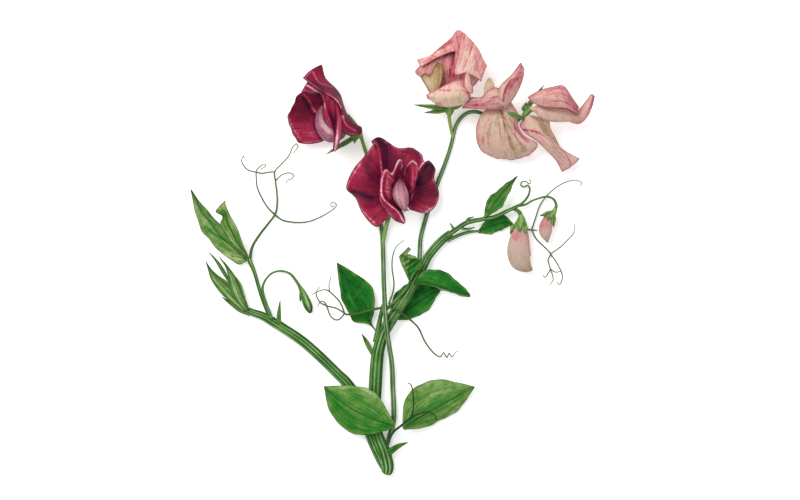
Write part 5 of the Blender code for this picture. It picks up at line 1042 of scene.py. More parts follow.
# %% Calyx data: stalk, cup and teeth
CALYCES = {
    "left_bloom_calyx": (
        [(-12.6, 46.4, 1.8, 0.8), (-13.8, 50.6, 3.6, 0.8), (-14.4, 53.0, 5.6, 0.9)],
        [(-14.0, 52.8, 5.2, 0.8, 0.8), (-15.2, 53.4, 5.8, 2.0, 1.9), (-16.8, 54.0, 6.3, 2.4, 2.2),
         (-18.6, 54.6, 6.7, 2.5, 2.3)],
        [((-17.0, 52.4, 6.4), (-17.4, 49.4, 8.6)), ((-17.6, 52.2, 6.0), (-30.4, 44.6, 3.2)),
         ((-16.4, 56.2, 5.4), (-20.4, 63.2, 2.2)), ((-16.8, 53.6, 4.2), (-21.4, 54.0, 0.8))]),
    "front_bloom_calyx": (
        [(-4.7, 3.0, 1.8, 0.7), (-3.9, 8.0, 2.6, 0.9), (-2.6, 14.0, 3.0, 1.0), (-0.6, 20.4, 2.8, 1.0)],
        [(-0.7, 19.8, 2.8, 0.9, 0.9), (0.0, 21.8, 2.8, 2.2, 2.0), (0.8, 24.0, 3.0, 2.6, 2.3),
         (1.6, 26.0, 3.4, 2.6, 2.2)],
        [((-1.4, 24.6, 2.6), (-4.6, 30.6, 1.4)), ((1.4, 25.2, 2.0), (1.6, 33.0, 1.0)),
         ((2.6, 24.4, 2.6), (8.6, 27.4, 1.4)), ((1.8, 22.6, 2.6), (7.2, 19.2, 1.6))]),
    "top_bloom_calyx": (
        [(27.0, 52.0, 1.4, 0.6), (26.2, 56.0, 1.8, 0.75), (25.4, 60.6, 2.4, 0.8), (25.4, 63.4, 3.4, 1.0)],
        [(25.5, 62.2, 3.2, 0.9, 0.9), (25.4, 64.2, 3.8, 2.2, 2.0), (25.3, 66.0, 4.4, 2.6, 2.3),
         (25.2, 67.6, 4.9, 2.6, 2.3)],
        [((23.2, 65.4, 5.4), (9.1, 67.0, 6.8)), ((23.4, 64.6, 4.4), (13.9, 63.4, 4.2)),
         ((27.2, 65.6, 4.0), (32.8, 68.2, 3.2)), ((25.2, 66.2, 2.8), (24.8, 72.0, 1.6))]),
    "middle_bloom_calyx": (
        [(58.6, 60.0, 1.8, 0.5), (58.8, 60.6, 6.4, 0.6), (57.4, 61.2, 9.8, 0.8), (54.4, 62.4, 12.0, 1.0),
         (51.4, 63.4, 12.2, 0.5)],
        [(54.6, 63.0, 3.4, 0.9, 0.9), (52.8, 63.6, 4.2, 2.1, 1.9), (50.9, 64.2, 4.9, 2.4, 2.1),
         (49.2, 64.6, 5.5, 2.4, 2.1)],
        [((50.8, 65.8, 4.6), (47.2, 74.8, 5.0)), ((50.2, 64.8, 3.2), (43.0, 66.6, 1.6)),
         ((50.6, 62.8, 3.8), (46.0, 58.4, 2.6))]),
    "right_bloom_calyx": (
        [(56.6, 60.0, 1.6, 0.6), (58.0, 61.2, 3.8, 0.7), (58.8, 62.0, 5.2, 0.9)],
        [(58.4, 61.6, 4.8, 0.8, 0.9), (59.5, 62.7, 5.6, 1.4, 1.6), (60.9, 64.4, 6.2, 1.6, 1.8),
         (62.1, 66.2, 6.7, 1.8, 1.8)],
        [((60.0, 65.2, 5.6), (68.1, 76.0, 6.6)), ((61.6, 64.6, 4.6), (68.6, 66.6, 2.6)),
         ((58.8, 64.2, 6.6), (60.0, 68.2, 8.2))]),
    "big_bud_calyx": (
        [(53.4, 20.2, 2.6, 0.7), (55.4, 19.8, 2.8, 0.8), (57.0, 18.6, 3.0, 0.9), (57.6, 17.0, 3.2, 1.1)],
        [(57.6, 17.4, 3.2, 1.0, 1.0), (57.8, 15.4, 3.6, 1.9, 1.8), (57.6, 13.2, 3.9, 2.9, 2.5),
         (57.4, 11.6, 4.0, 3.5, 2.8)],
        [((54.8, 13.0, 4.8), (52.6, 8.6, 5.6)), ((56.4, 12.6, 6.2), (57.0, 9.8, 7.2)),
         ((59.0, 12.6, 6.0), (59.7, 8.8, 7.0))]),
    "small_bud_calyx": (
        [(56.8, 21.4, 2.6, 0.5), (59.8, 22.1, 2.2, 0.5), (63.3, 24.0, 2.2, 0.45), (68.8, 25.6, 2.2, 0.5),
         (72.2, 24.7, 2.8, 0.55), (73.6, 22.1, 3.2, 0.65), (73.2, 19.6, 3.5, 0.9)],
        [(73.3, 20.4, 3.5, 0.8, 0.8), (72.6, 18.8, 3.6, 1.3, 1.2), (71.4, 17.4, 3.6, 2.0, 1.8),
         (70.8, 16.4, 3.6, 2.3, 2.0)],
        [((71.2, 18.4, 4.6), (66.0, 16.9, 5.2)), ((72.2, 17.2, 4.4), (72.4, 11.6, 5.2)),
         ((70.4, 17.2, 5.2), (69.4, 14.9, 6.0))]),
}


# These stalks are darker: partly older tissue, and partly painted shade where a petal lies over them.
STALK_TONES = {"middle_bloom_calyx": 0.34, "big_bud_calyx": 0.22, "small_bud_calyx": 0.22}


def cup_blush(v, turn):
    return 0.56 - 0.2 * v + 0.12 * np.sin(2 * pi * turn * 5)


for name, (stalk, cup, teeth) in CALYCES.items():
    parts = [cord(stalk, tone=STALK_TONES.get(name, 0.56), seed=1.0),
             pod(cup, sides=32, blush=cup_blush, seed=2.0)]
    parts += [tooth(root, tip) for root, tip in teeth]
    piece(name, parts, CALYX)

# %% [markdown]
# ## The nodding bud
# A young bud hangs from a thin hooked stalk, because the stalk only straightens when the bloom opens. The
# stalk and the bud are pods run together into one piece, with a single tooth of the calyx along the side.

# %% The nodding bud
NODDING_STALK = [
    (-54.4, -29.6, 2.9, 0.6), (-56.9, -23.5, 2.7, 0.6), (-58.5, -18.6, 2.6, 0.6), (-58.8, -15.2, 2.6, 0.6),
    (-57.4, -11.7, 2.2, 0.5), (-54.5, -8.8, 1.6, 0.5), (-50.6, -7.9, 1.2, 0.5), (-46.4, -9.2, 1.1, 0.55),
    (-43.2, -13.2, 1.3, 0.7), (-42.0, -15.4, 1.5, 0.8)]
NODDING_BUD = [
    (-42.3, -14.6, 1.5, 0.8, 0.8), (-40.8, -17.6, 1.6, 1.4, 1.2), (-39.4, -21.0, 1.7, 1.9, 1.4),
    (-38.1, -24.2, 1.7, 1.9, 1.4), (-37.2, -26.8, 1.6, 0.8, 0.8)]
piece("nodding_bud", [cord(NODDING_STALK, tone=0.34),
                      pod(NODDING_BUD, sides=28, seams=(0.2,), blush=green_blush),
                      tooth((-41.4, -17.2, 1.8), (-42.0, -22.2, 2.0), width=0.8, tone=0.4)],
      GREEN_BUD)

# %% [markdown]
# ## Blooms
# Each bloom is built as it grows: the standard at the back, the two wings in front of it, and the keel
# between them, all from the same claw. A petal's cage has a row for each step from the claw to the margin.
# Dark tones in the folds are painted shade, and pale tones on the ridges are painted highlights. A small
# ruffle lifts each margin, since a petal grows faster at its edge than in its middle.

# %% The left bloom, side on
# Columns: the near margin, the near face, the spine, the far face and the far margin.
LEFT_STANDARD = [
    [(-15.6, 53.0, 10.0, 0.5), (-14.0, 54.6, 11.0, 0.3), (-14.2, 56.6, 9.8, 0.1), (-15.2, 57.0, 8.4, 0.1),
     (-16.0, 57.0, 7.4, 0.1)],
    [(-21.6, 54.0, 12.6, 0.5), (-18.8, 56.6, 14.2, 0.3), (-17.6, 58.8, 11.4, 0.1), (-18.4, 58.6, 8.0, 0.1),
     (-19.4, 58.0, 6.4, 0.1)],
    [(-23.2, 58.0, 16.0, 0.62), (-21.6, 60.8, 16.0, 0.3), (-20.4, 62.2, 12.0, 0.1), (-21.0, 61.4, 7.6, 0.1),
     (-22.4, 60.6, 5.0, 0.1)],
    [(-23.4, 64.8, 20.0, 0.64), (-22.7, 66.0, 16.5, 0.3), (-22.2, 66.8, 10.5, 0.06), (-23.4, 66.0, 6.0, 0.1),
     (-25.0, 65.0, 4.4, 0.1)],
    [(-26.2, 69.0, 21.5, 0.5), (-24.8, 70.4, 17.5, 0.14), (-23.6, 71.2, 11.5, 0.08), (-25.2, 70.0, 7.0, 0.2),
     (-27.2, 69.2, 6.4, 0.3)],
    [(-30.4, 71.4, 21.5, 0.4), (-28.0, 73.4, 18.0, 0.2), (-26.0, 74.4, 12.0, 0.3), (-28.5, 72.6, 8.0, 0.4),
     (-31.6, 71.6, 7.4, 0.6)],
    [(-35.6, 74.4, 20.5, 0.3), (-33.2, 77.0, 18.0, 0.4), (-30.4, 78.8, 12.5, 0.5), (-33.4, 76.0, 8.0, 0.5),
     (-36.6, 72.2, 7.6, 0.76)],
    [(-40.4, 78.4, 19.0, 0.24), (-37.4, 81.8, 17.5, 0.4), (-32.2, 84.6, 13.0, 0.46), (-37.6, 78.6, 8.4, 0.5),
     (-41.4, 72.6, 7.8, 0.74)]]
# Lines of painted shade along its folds and painted highlights along its lit ridges.
LEFT_STANDARD_SHADE_AND_HIGHLIGHTS = [
    ([(-35.9, 81.4), (-33.4, 76.9), (-30.6, 75.5), (-27.6, 74.7)], 0.5, 0.42),
    ([(-40.0, 76.6), (-36.5, 74.4), (-32.8, 72.0), (-28.6, 70.4), (-25.6, 68.6), (-23.4, 65.2)], 0.45, 0.5),
    ([(-39.4, 78.0), (-35.6, 76.2), (-31.6, 73.4)], 0.7, -0.24),
    ([(-38.6, 80.4), (-36.4, 77.4)], 0.5, 0.2),
    ([(-22.6, 61.6), (-21.6, 59.0), (-20.0, 57.0), (-16.8, 55.2)], 0.5, 0.5),
    ([(-22.6, 56.0), (-20.4, 54.6), (-16.4, 53.8)], 0.6, 0.2)]
LEFT_WING_FAR = [
    [(-24.0, 64.0, 9.0, 0.2), (-24.0, 61.4, 7.6, 0.2), (-24.0, 57.6, 6.6, 0.25), (-24.6, 54.6, 6.6, 0.4)],
    [(-27.0, 66.4, 7.0, 0.2), (-26.6, 62.4, 5.4, 0.2), (-26.8, 57.6, 4.6, 0.3), (-27.6, 53.6, 4.6, 0.45)],
    [(-33.0, 72.0, 11.0, 0.1), (-33.2, 66.2, 6.6, 0.36), (-33.2, 57.6, 4.0, 0.5), (-31.6, 50.6, 4.8, 0.58)],
    [(-39.6, 72.4, 12.4, 0.3), (-39.6, 65.0, 6.4, 0.22), (-39.4, 57.6, 3.6, 0.54), (-37.0, 49.4, 5.0, 0.62)],
    [(-42.6, 70.8, 12.0, 0.36), (-44.8, 64.6, 7.4, 0.36), (-44.6, 57.0, 5.0, 0.6), (-41.2, 49.6, 5.4, 0.64)],
    [(-43.8, 69.0, 11.4, 0.3), (-47.0, 62.6, 8.6, 0.44), (-46.4, 56.6, 6.8, 0.66), (-42.8, 50.4, 6.2, 0.54)]]
# Lines of painted shade along its folds and painted highlights along its lit ridges.
LEFT_WING_FAR_SHADE_AND_HIGHLIGHTS = [
    ([(-40.0, 71.4), (-37.6, 68.6), (-36.2, 65.4), (-34.4, 63.4)], 0.42, 0.6),
    ([(-40.2, 70.0), (-38.4, 66.8), (-36.2, 63.0)], 1.0, -0.26),
    ([(-34.6, 62.0), (-35.0, 57.0), (-32.2, 51.4)], 0.9, -0.4),
    ([(-46.6, 60.4), (-45.0, 56.2), (-41.8, 51.6)], 0.6, 0.2)]
# Columns: the margin beside the keel, the inner face, its shadow, and the near strip's two edges.
LEFT_WING_NEAR = [
    [(-32.2, 71.8, 11.8, 0.4), (-30.4, 71.4, 14.0, 0.6), (-28.4, 70.2, 14.6, 0.6), (-26.6, 68.8, 15.0, 0.6),
     (-25.0, 67.6, 15.6, 0.6), (-24.0, 66.6, 14.6, 0.5)],
    [(-31.2, 67.4, 12.6, 0.7), (-29.2, 67.0, 14.6, 0.5), (-27.4, 66.4, 14.4, 0.6), (-25.6, 65.8, 15.6, 0.6),
     (-24.4, 65.0, 17.0, 0.66), (-23.2, 64.4, 14.6, 0.4)],
    [(-31.6, 62.6, 13.4, 0.74), (-29.6, 62.4, 14.8, 0.46), (-27.4, 62.0, 14.0, 0.2),
     (-25.6, 61.4, 15.4, 0.36), (-24.0, 61.0, 18.4, 0.8), (-22.6, 60.4, 14.6, 0.5)],
    [(-29.6, 58.4, 13.8, 0.8), (-28.2, 58.2, 15.0, 0.5), (-26.8, 57.8, 14.0, 0.14), (-25.5, 57.4, 16.0, 0.4),
     (-24.2, 57.2, 18.8, 0.92), (-22.6, 56.8, 15.0, 0.5)],
    [(-27.2, 54.8, 14.2, 0.7), (-26.8, 54.6, 15.0, 0.4), (-26.2, 54.4, 14.8, 0.2), (-25.6, 54.2, 16.4, 0.5),
     (-24.4, 54.0, 18.2, 0.94), (-22.9, 53.8, 15.0, 0.5)],
    [(-26.7, 50.4, 13.8, 0.4), (-26.5, 50.2, 14.4, 0.5), (-26.2, 50.0, 15.0, 0.6), (-25.7, 49.8, 15.8, 0.86),
     (-25.0, 49.6, 16.2, 0.94), (-24.0, 49.6, 14.0, 0.4)],
    [(-26.8, 46.6, 12.8, 0.3), (-26.7, 46.2, 13.2, 0.6), (-26.4, 45.9, 13.4, 0.8), (-26.1, 45.8, 13.6, 0.9),
     (-25.6, 46.0, 13.4, 0.8), (-25.2, 46.4, 12.8, 0.3)]]
# Lines of painted shade along its folds and painted highlights along its lit ridges.
LEFT_WING_NEAR_SHADE_AND_HIGHLIGHTS = [
    ([(-30.8, 67.4), (-29.8, 63.0), (-27.2, 57.0)], 0.35, 0.36),
    ([(-29.2, 68.0), (-28.6, 63.6), (-26.6, 58.0)], 0.4, -0.3),
    ([(-26.0, 68.0), (-25.6, 62.0), (-25.6, 55.0), (-26.6, 47.6)], 0.35, -0.5)]


def left_keel_blush(v, turn):
    return 0.34 + 0.5 * spot_of(v, turn, 0.56, 0.2, 0.26, 0.06) + 0.3 * spot_of(v, turn, 0.6, 0.06, 0.3, 0.05)


piece("left_bloom_standard",
      [blade(LEFT_STANDARD, 12, 16, ruffle=(0.5, 2.0), shade_and_highlight_lines=LEFT_STANDARD_SHADE_AND_HIGHLIGHTS, seed=1.0)],
      DARK_PETAL)
piece("left_bloom_wing_far",
      [blade(LEFT_WING_FAR, 12, 20, ruffle=(0.5, 2.0), shade_and_highlight_lines=LEFT_WING_FAR_SHADE_AND_HIGHLIGHTS, seed=2.0)],
      DARK_PETAL)
piece("left_bloom_wing_near",
      [blade(LEFT_WING_NEAR, 12, 9, ruffle=(0.2, 2.0), shade_and_highlight_lines=LEFT_WING_NEAR_SHADE_AND_HIGHLIGHTS, seed=3.0)],
      DARK_PETAL)
piece("left_bloom_keel", [pod([
    (-18.6, 55.6, 8.4, 0.9, 0.9), (-21.4, 55.2, 9.0, 1.6, 1.2), (-24.4, 53.6, 9.2, 2.8, 2.2),
    (-28.4, 53.8, 9.6, 3.8, 2.8), (-31.6, 57.2, 10.0, 3.2, 2.6), (-32.6, 61.6, 10.4, 2.2, 1.9),
    (-31.6, 66.4, 10.8, 0.5, 0.6)], cuts=8, sides=40, seams=(0.12, 0.34), groove=0.1, blush=left_keel_blush)],
    DARK_KEEL)

# %% [markdown]
# ## The front bloom
# This bloom faces up, so its standard is a wide frilled disc with a notch, its wings stand as two hoods over
# the middle, and the mauve keel shows between them. A disc lofted from one side would bunch its veins, so
# the cage goes round the claw and every column of the skin runs outwards, as the real veins do.

# %% The front bloom, facing up
# Rows go round the bloom from the lower left, each from the claw out to the margin.
FRONT_STANDARD = [
    [(1.6, 23.6, 6.4, 0.3), (0.4, 20.2, 7.6, 0.5), (-0.6, 18.2, 7.2, 0.64), (-1.8, 16.6, 6.4, 0.7)],
    [(1.0, 24.0, 6.4, 0.3), (-3.4, 19.4, 8.0, 0.5), (-5.2, 15.6, 6.6, 0.7), (-7.2, 12.0, 4.8, 0.64)],
    [(0.6, 24.4, 6.4, 0.3), (-4.2, 21.2, 8.6, 0.46), (-9.0, 18.4, 7.4, 0.6), (-13.4, 17.6, 4.4, 0.6)],
    [(0.2, 25.0, 6.4, 0.3), (-4.8, 23.4, 9.0, 0.4), (-10.6, 22.0, 8.2, 0.4), (-16.2, 23.2, 4.8, 0.52)],
    [(-0.2, 26.4, 6.4, 0.3), (-5.6, 26.4, 10.0, 0.34), (-12.4, 26.0, 10.0, 0.3), (-18.2, 26.6, 6.0, 0.4)],
    [(-0.2, 26.8, 6.4, 0.3), (-5.6, 28.2, 10.2, 0.34), (-13.0, 29.4, 10.8, 0.4), (-21.0, 29.6, 6.8, 0.5)],
    [(-0.2, 27.8, 6.6, 0.2), (-5.4, 31.4, 10.6, 0.3), (-12.0, 34.0, 12.4, 0.34), (-18.6, 37.0, 8.4, 0.6)],
    [(0.0, 28.6, 6.7, 0.3), (-4.6, 33.4, 11.0, 0.3), (-9.4, 39.0, 13.4, 0.34), (-13.6, 42.8, 11.4, 0.56)],
    [(0.2, 29.0, 6.8, 0.3), (-3.6, 34.6, 11.4, 0.34), (-6.4, 42.6, 14.6, 0.4), (-8.8, 49.0, 13.2, 0.5)],
    [(0.5, 29.2, 6.8, 0.3), (-2.6, 35.0, 11.2, 0.24), (-5.0, 43.6, 13.4, 0.2), (-9.6, 50.4, 14.6, 0.06)],
    [(0.8, 29.4, 6.9, 0.2), (-1.4, 35.4, 10.6, 0.18), (-3.4, 43.8, 11.6, 0.2), (-5.8, 52.2, 11.2, 0.1)],
    [(1.6, 29.6, 7.0, 0.2), (1.0, 35.6, 10.6, 0.14), (0.8, 41.6, 11.6, 0.2), (1.6, 47.7, 9.8, 0.42)],
    [(2.6, 29.4, 6.9, 0.2), (4.2, 35.2, 10.6, 0.2), (6.2, 41.0, 12.0, 0.34), (8.7, 47.6, 9.6, 0.22)],
    [(3.2, 28.9, 6.8, 0.2), (5.8, 34.4, 10.8, 0.26), (9.0, 39.8, 12.8, 0.44), (12.8, 44.6, 10.2, 0.2)],
    [(3.4, 28.6, 6.8, 0.2), (7.0, 33.0, 11.0, 0.34), (10.6, 37.2, 13.2, 0.5), (14.1, 41.2, 11.6, 0.7)],
    [(3.6, 28.2, 6.7, 0.2), (7.6, 32.0, 11.0, 0.3), (12.0, 36.6, 13.6, 0.3), (16.4, 41.8, 11.6, 0.04)],
    [(4.0, 27.4, 6.6, 0.2), (8.6, 30.2, 10.6, 0.26), (13.4, 33.8, 12.6, 0.22), (19.0, 38.0, 8.6, 0.1)],
    [(4.0, 26.8, 6.6, 0.2), (8.9, 28.4, 10.4, 0.2), (14.0, 30.4, 11.8, 0.2), (18.4, 33.4, 8.4, 0.6)],
    [(4.0, 26.2, 6.5, 0.2), (9.0, 26.6, 10.0, 0.16), (14.6, 27.0, 11.2, 0.24), (20.8, 28.0, 6.2, 0.3)],
    [(3.8, 25.4, 6.4, 0.2), (8.4, 24.4, 9.2, 0.22), (13.6, 23.0, 9.4, 0.5), (19.2, 21.4, 5.2, 0.66)],
    [(3.6, 24.8, 6.4, 0.2), (7.2, 22.4, 8.4, 0.26), (11.0, 20.6, 8.2, 0.6), (13.8, 18.2, 4.8, 0.66)],
    [(3.2, 24.4, 6.4, 0.2), (5.0, 22.8, 8.0, 0.3), (6.4, 21.8, 7.8, 0.3), (7.4, 19.6, 5.6, 0.4)]]
# Lines of painted shade along its folds and painted highlights along its lit ridges.
FRONT_STANDARD_SHADE_AND_HIGHLIGHTS = [
    ([(-7.6, 50.0), (-6.2, 45.2), (-5.3, 39.6), (-5.0, 35.4)], 0.42, 0.56),
    ([(-14.6, 40.6), (-17.4, 36.2), (-19.6, 32.4), (-20.4, 30.0)], 0.4, 0.3),
    ([(-18.6, 28.2), (-14.4, 26.8), (-9.4, 25.2)], 1.1, -0.36),
    ([(-10.6, 42.0), (-11.4, 37.6), (-9.6, 33.6)], 1.5, -0.2),
    ([(-14.6, 20.6), (-11.2, 16.8), (-7.6, 13.2)], 0.35, 0.3),
    ([(13.9, 40.8), (11.4, 36.8), (9.4, 32.0), (7.8, 27.6)], 0.5, 0.4),
    ([(15.6, 40.4), (13.4, 36.4), (11.0, 31.4)], 0.8, -0.24),
    ([(18.2, 36.4), (17.9, 32.6)], 0.5, 0.34),
    ([(20.0, 25.8), (18.8, 21.6), (14.6, 18.9)], 0.45, 0.26),
    ([(0.6, 46.6), (4.6, 44.6), (7.4, 43.8)], 0.4, 0.2)]
# Columns: the turned-back lower margin, the lit ridge, the inner face, and its foot beside the keel.
FRONT_WING_LEFT = [
    [(4.9, 13.2, 9.0, 0.8), (5.2, 13.6, 9.8, 0.7), (5.5, 14.2, 10.2, 0.3), (5.7, 15.2, 10.8, 0.1)],
    [(0.6, 15.0, 12.4, 0.7), (2.2, 18.6, 14.6, 0.6), (2.9, 19.4, 13.6, 0.3), (3.4, 20.4, 12.4, 0.08)],
    [(-2.8, 18.6, 14.8, 0.64), (-1.6, 21.6, 17.6, 0.5), (-0.2, 22.4, 16.0, 0.3), (0.8, 23.4, 13.6, 0.2)],
    [(-5.6, 23.4, 17.0, 0.44), (-4.6, 25.2, 19.4, 0.5), (-2.4, 25.2, 18.0, 0.6), (-0.4, 25.4, 14.4, 0.5)],
    [(-6.0, 28.4, 19.4, 0.4), (-5.4, 28.8, 20.2, 0.5), (-3.0, 28.4, 18.8, 0.72), (-0.6, 27.6, 14.8, 0.6)],
    [(-5.4, 33.0, 20.4, 0.4), (-5.0, 33.2, 20.8, 0.5), (-2.8, 31.8, 19.2, 0.7), (-0.8, 30.0, 15.2, 0.6)],
    [(-3.6, 37.6, 20.6, 0.6), (-3.2, 37.4, 21.0, 0.5), (-1.4, 34.8, 19.2, 0.6), (0.4, 32.2, 15.4, 0.5)],
    [(-0.6, 36.2, 20.2, 0.8), (-0.2, 35.8, 20.4, 0.76), (0.6, 34.6, 18.0, 0.36), (1.2, 33.4, 14.8, 0.2)],
    [(2.4, 41.4, 19.0, 0.8), (2.8, 41.6, 19.4, 0.8), (2.6, 38.2, 17.4, 0.5), (2.2, 34.8, 14.8, 0.35)],
    [(4.6, 40.2, 18.2, 0.6), (4.9, 39.8, 18.2, 0.5), (4.2, 37.4, 16.8, 0.4), (3.2, 35.0, 14.8, 0.3)]]
# Lines of painted shade along its folds and painted highlights along its lit ridges.
FRONT_WING_LEFT_SHADE_AND_HIGHLIGHTS = [
    ([(-0.4, 35.6), (-3.0, 37.2), (-4.6, 34.5), (-5.3, 28.6), (-4.4, 24.8), (-1.5, 21.8), (2.1, 18.8),
      (5.0, 14.2)],
     0.36, 0.5),
    ([(-3.8, 33.6), (-4.2, 28.6), (-3.2, 25.2), (-0.6, 22.4), (2.6, 19.6)], 0.5, -0.42),
    ([(-0.2, 35.9), (1.2, 38.6), (2.8, 41.6), (4.6, 40.2)], 0.36, 0.4)]
FRONT_WING_RIGHT = [
    [(5.6, 39.4, 18.8, 0.5), (4.9, 37.6, 17.2, 0.2), (4.2, 35.2, 15.2, 0.2)],
    [(8.7, 42.0, 20.0, 0.7), (7.4, 38.6, 18.0, 0.3), (5.6, 34.4, 15.0, 0.3)],
    [(11.2, 40.0, 20.2, 0.6), (9.6, 36.6, 18.4, 0.56), (7.2, 32.0, 15.0, 0.5)],
    [(11.2, 35.8, 19.0, 0.5), (9.9, 33.0, 17.2, 0.56), (8.4, 29.4, 14.6, 0.5)],
    [(9.8, 30.6, 17.6, 0.4), (9.2, 28.6, 16.2, 0.5), (8.6, 26.4, 14.2, 0.4)],
    [(8.6, 24.6, 15.8, 0.3), (8.2, 23.8, 14.8, 0.4), (7.8, 22.4, 13.6, 0.3)]]
# Lines of painted shade along its folds and painted highlights along its lit ridges.
FRONT_WING_RIGHT_SHADE_AND_HIGHLIGHTS = [
    ([(6.0, 39.0), (8.7, 41.6), (10.9, 40.0)], 0.4, 0.4),
    ([(6.4, 38.0), (7.4, 35.6), (7.6, 33.0)], 0.8, -0.3),
    ([(8.8, 38.4), (9.0, 34.6), (8.8, 30.4)], 0.6, 0.16)]


def front_keel_blush(v, turn):
    return 0.44 + 0.22 * spot_of(v, turn, 0.6, 0.24, 0.3, 0.1) - 0.3 * np.clip((0.3 - v) / 0.3, 0, 1)


# The cage goes round the bloom, so each of its rows is a line from the claw out: it is turned to match.
front_cage = np.array(FRONT_STANDARD).swapaxes(0, 1)
piece("front_bloom_standard",
      [blade(front_cage, 18, 10, ruffle=(0.4, 7.0), shade_and_highlight_lines=FRONT_STANDARD_SHADE_AND_HIGHLIGHTS, seed=4.0)],
      DARK_PETAL)
for name, cage, shade_and_highlight_lines, seed in (("front_bloom_wing_left", FRONT_WING_LEFT, FRONT_WING_LEFT_SHADE_AND_HIGHLIGHTS, 5.0),
                                  ("front_bloom_wing_right", FRONT_WING_RIGHT, FRONT_WING_RIGHT_SHADE_AND_HIGHLIGHTS,
                                   6.0)):
    turned = np.array(cage).swapaxes(0, 1)[::-1]
    piece(name, [blade(turned, 12, 10, ruffle=(0.2, 4.0), shade_and_highlight_lines=shade_and_highlight_lines, seed=seed)], DARK_PETAL)
piece("front_bloom_keel", [pod([
    (3.2, 34.0, 14.6, 0.4, 0.6), (3.1, 30.6, 14.8, 2.5, 2.4), (3.4, 26.5, 14.6, 3.7, 3.2),
    (4.5, 22.5, 13.8, 2.7, 2.6), (5.4, 18.8, 12.8, 0.4, 0.5)], cuts=9, sides=40, seams=(0.2, 0.36),
    groove=0.12, blush=front_keel_blush)], DARK_KEEL)

# %% [markdown]
# ## The top bloom
# A pale bloom that is still half shut. The standard is a hood whose front margin turns back in a fold, the
# near wing is a round cup under it, and two khaki lobes of the keel stand in its mouth. The fold is the last
# row of the cage, which comes back in front of the row before it.

# %% The top bloom, hooded
TOP_STANDARD = [
    [(23.4, 67.6, 6.4, 0.5), (24.0, 67.6, 6.0, 0.5), (24.8, 67.6, 5.8, 0.5), (25.6, 67.6, 5.8, 0.5),
     (26.4, 67.6, 6.0, 0.5), (27.2, 67.6, 6.4, 0.5)],
    [(16.0, 76.5, 11.0, 0.6), (19.5, 76.5, 11.0, 0.72), (23.5, 76.5, 11.0, 0.8), (27.5, 76.5, 11.0, 0.8),
     (31.5, 76.0, 9.4, 0.6), (35.6, 74.6, 10.0, 0.5)],
    [(10.0, 81.0, 13.0, 0.66), (16.5, 83.0, 12.4, 0.72), (23.0, 84.4, 12.6, 0.78), (28.5, 84.6, 12.2, 0.8),
     (34.4, 82.0, 9.6, 0.6), (39.0, 78.6, 10.0, 0.6)],
    [(12.2, 84.8, 12.6, 0.6), (18.6, 89.0, 11.8, 0.72), (25.0, 91.4, 11.2, 0.76), (29.5, 92.4, 10.6, 0.78),
     (36.2, 89.8, 9.4, 0.68), (41.4, 83.2, 10.0, 0.66)],
    [(10.8, 86.8, 13.6, 0.76), (17.4, 89.4, 13.4, 0.84), (25.8, 96.4, 12.8, 0.88), (29.8, 99.8, 12.4, 0.84),
     (37.6, 92.2, 12.6, 0.76), (41.6, 83.6, 12.4, 0.76)],
    [(12.4, 83.6, 14.4, 0.5), (18.8, 87.2, 14.6, 0.72), (28.6, 90.4, 15.2, 0.8), (27.6, 80.4, 17.6, 0.6),
     (33.0, 80.8, 18.2, 0.46), (39.6, 77.2, 14.4, 0.7)]]
# Lines of painted shade along its folds and painted highlights along its lit ridges.
TOP_STANDARD_SHADE_AND_HIGHLIGHTS = [
    ([(17.4, 88.6), (21.4, 92.2), (26.4, 95.2)], 0.45, 0.3),
    ([(13.0, 86.6), (18.6, 89.4), (25.4, 92.4)], 0.5, -0.24),
    ([(28.9, 97.4), (29.2, 93.4), (29.4, 90.0)], 0.4, 0.26),
    ([(31.8, 98.4), (31.8, 92.0), (30.0, 85.0)], 0.45, 0.2),
    ([(35.6, 93.0), (33.4, 87.4), (31.4, 82.4)], 0.45, 0.26),
    ([(37.0, 88.4), (37.6, 84.4), (38.6, 80.4)], 0.45, 0.2),
    ([(33.0, 90.0), (34.2, 85.4), (35.4, 81.4)], 0.7, -0.2),
    ([(13.6, 83.8), (19.0, 87.0), (24.2, 89.2), (28.8, 90.0), (28.2, 85.6), (27.2, 79.4)], 0.4, 0.3),
    ([(27.0, 89.0), (26.4, 84.0), (25.4, 79.0)], 0.7, 0.16)]
TOP_WING_NEAR = [
    [(19.0, 71.4, 9.6, 0.6), (22.0, 70.4, 9.4, 0.5), (26.0, 70.2, 9.4, 0.5), (30.0, 71.0, 9.6, 0.5),
     (32.8, 72.6, 10.0, 0.6)],
    [(15.8, 69.6, 13.0, 0.84), (20.0, 66.8, 13.0, 0.7), (25.8, 65.9, 13.0, 0.56), (31.4, 67.2, 13.0, 0.56),
     (35.0, 70.6, 13.0, 0.8)],
    [(15.0, 70.4, 15.4, 0.8), (19.3, 69.8, 17.4, 0.56), (25.0, 70.2, 18.4, 0.46), (30.0, 71.2, 17.8, 0.44),
     (34.2, 72.4, 15.8, 0.62)],
    [(14.8, 71.2, 15.6, 0.8), (20.0, 73.6, 17.8, 0.6), (24.5, 76.2, 18.0, 0.66), (29.4, 78.0, 17.4, 0.7),
     (32.2, 78.4, 16.6, 0.7)]]
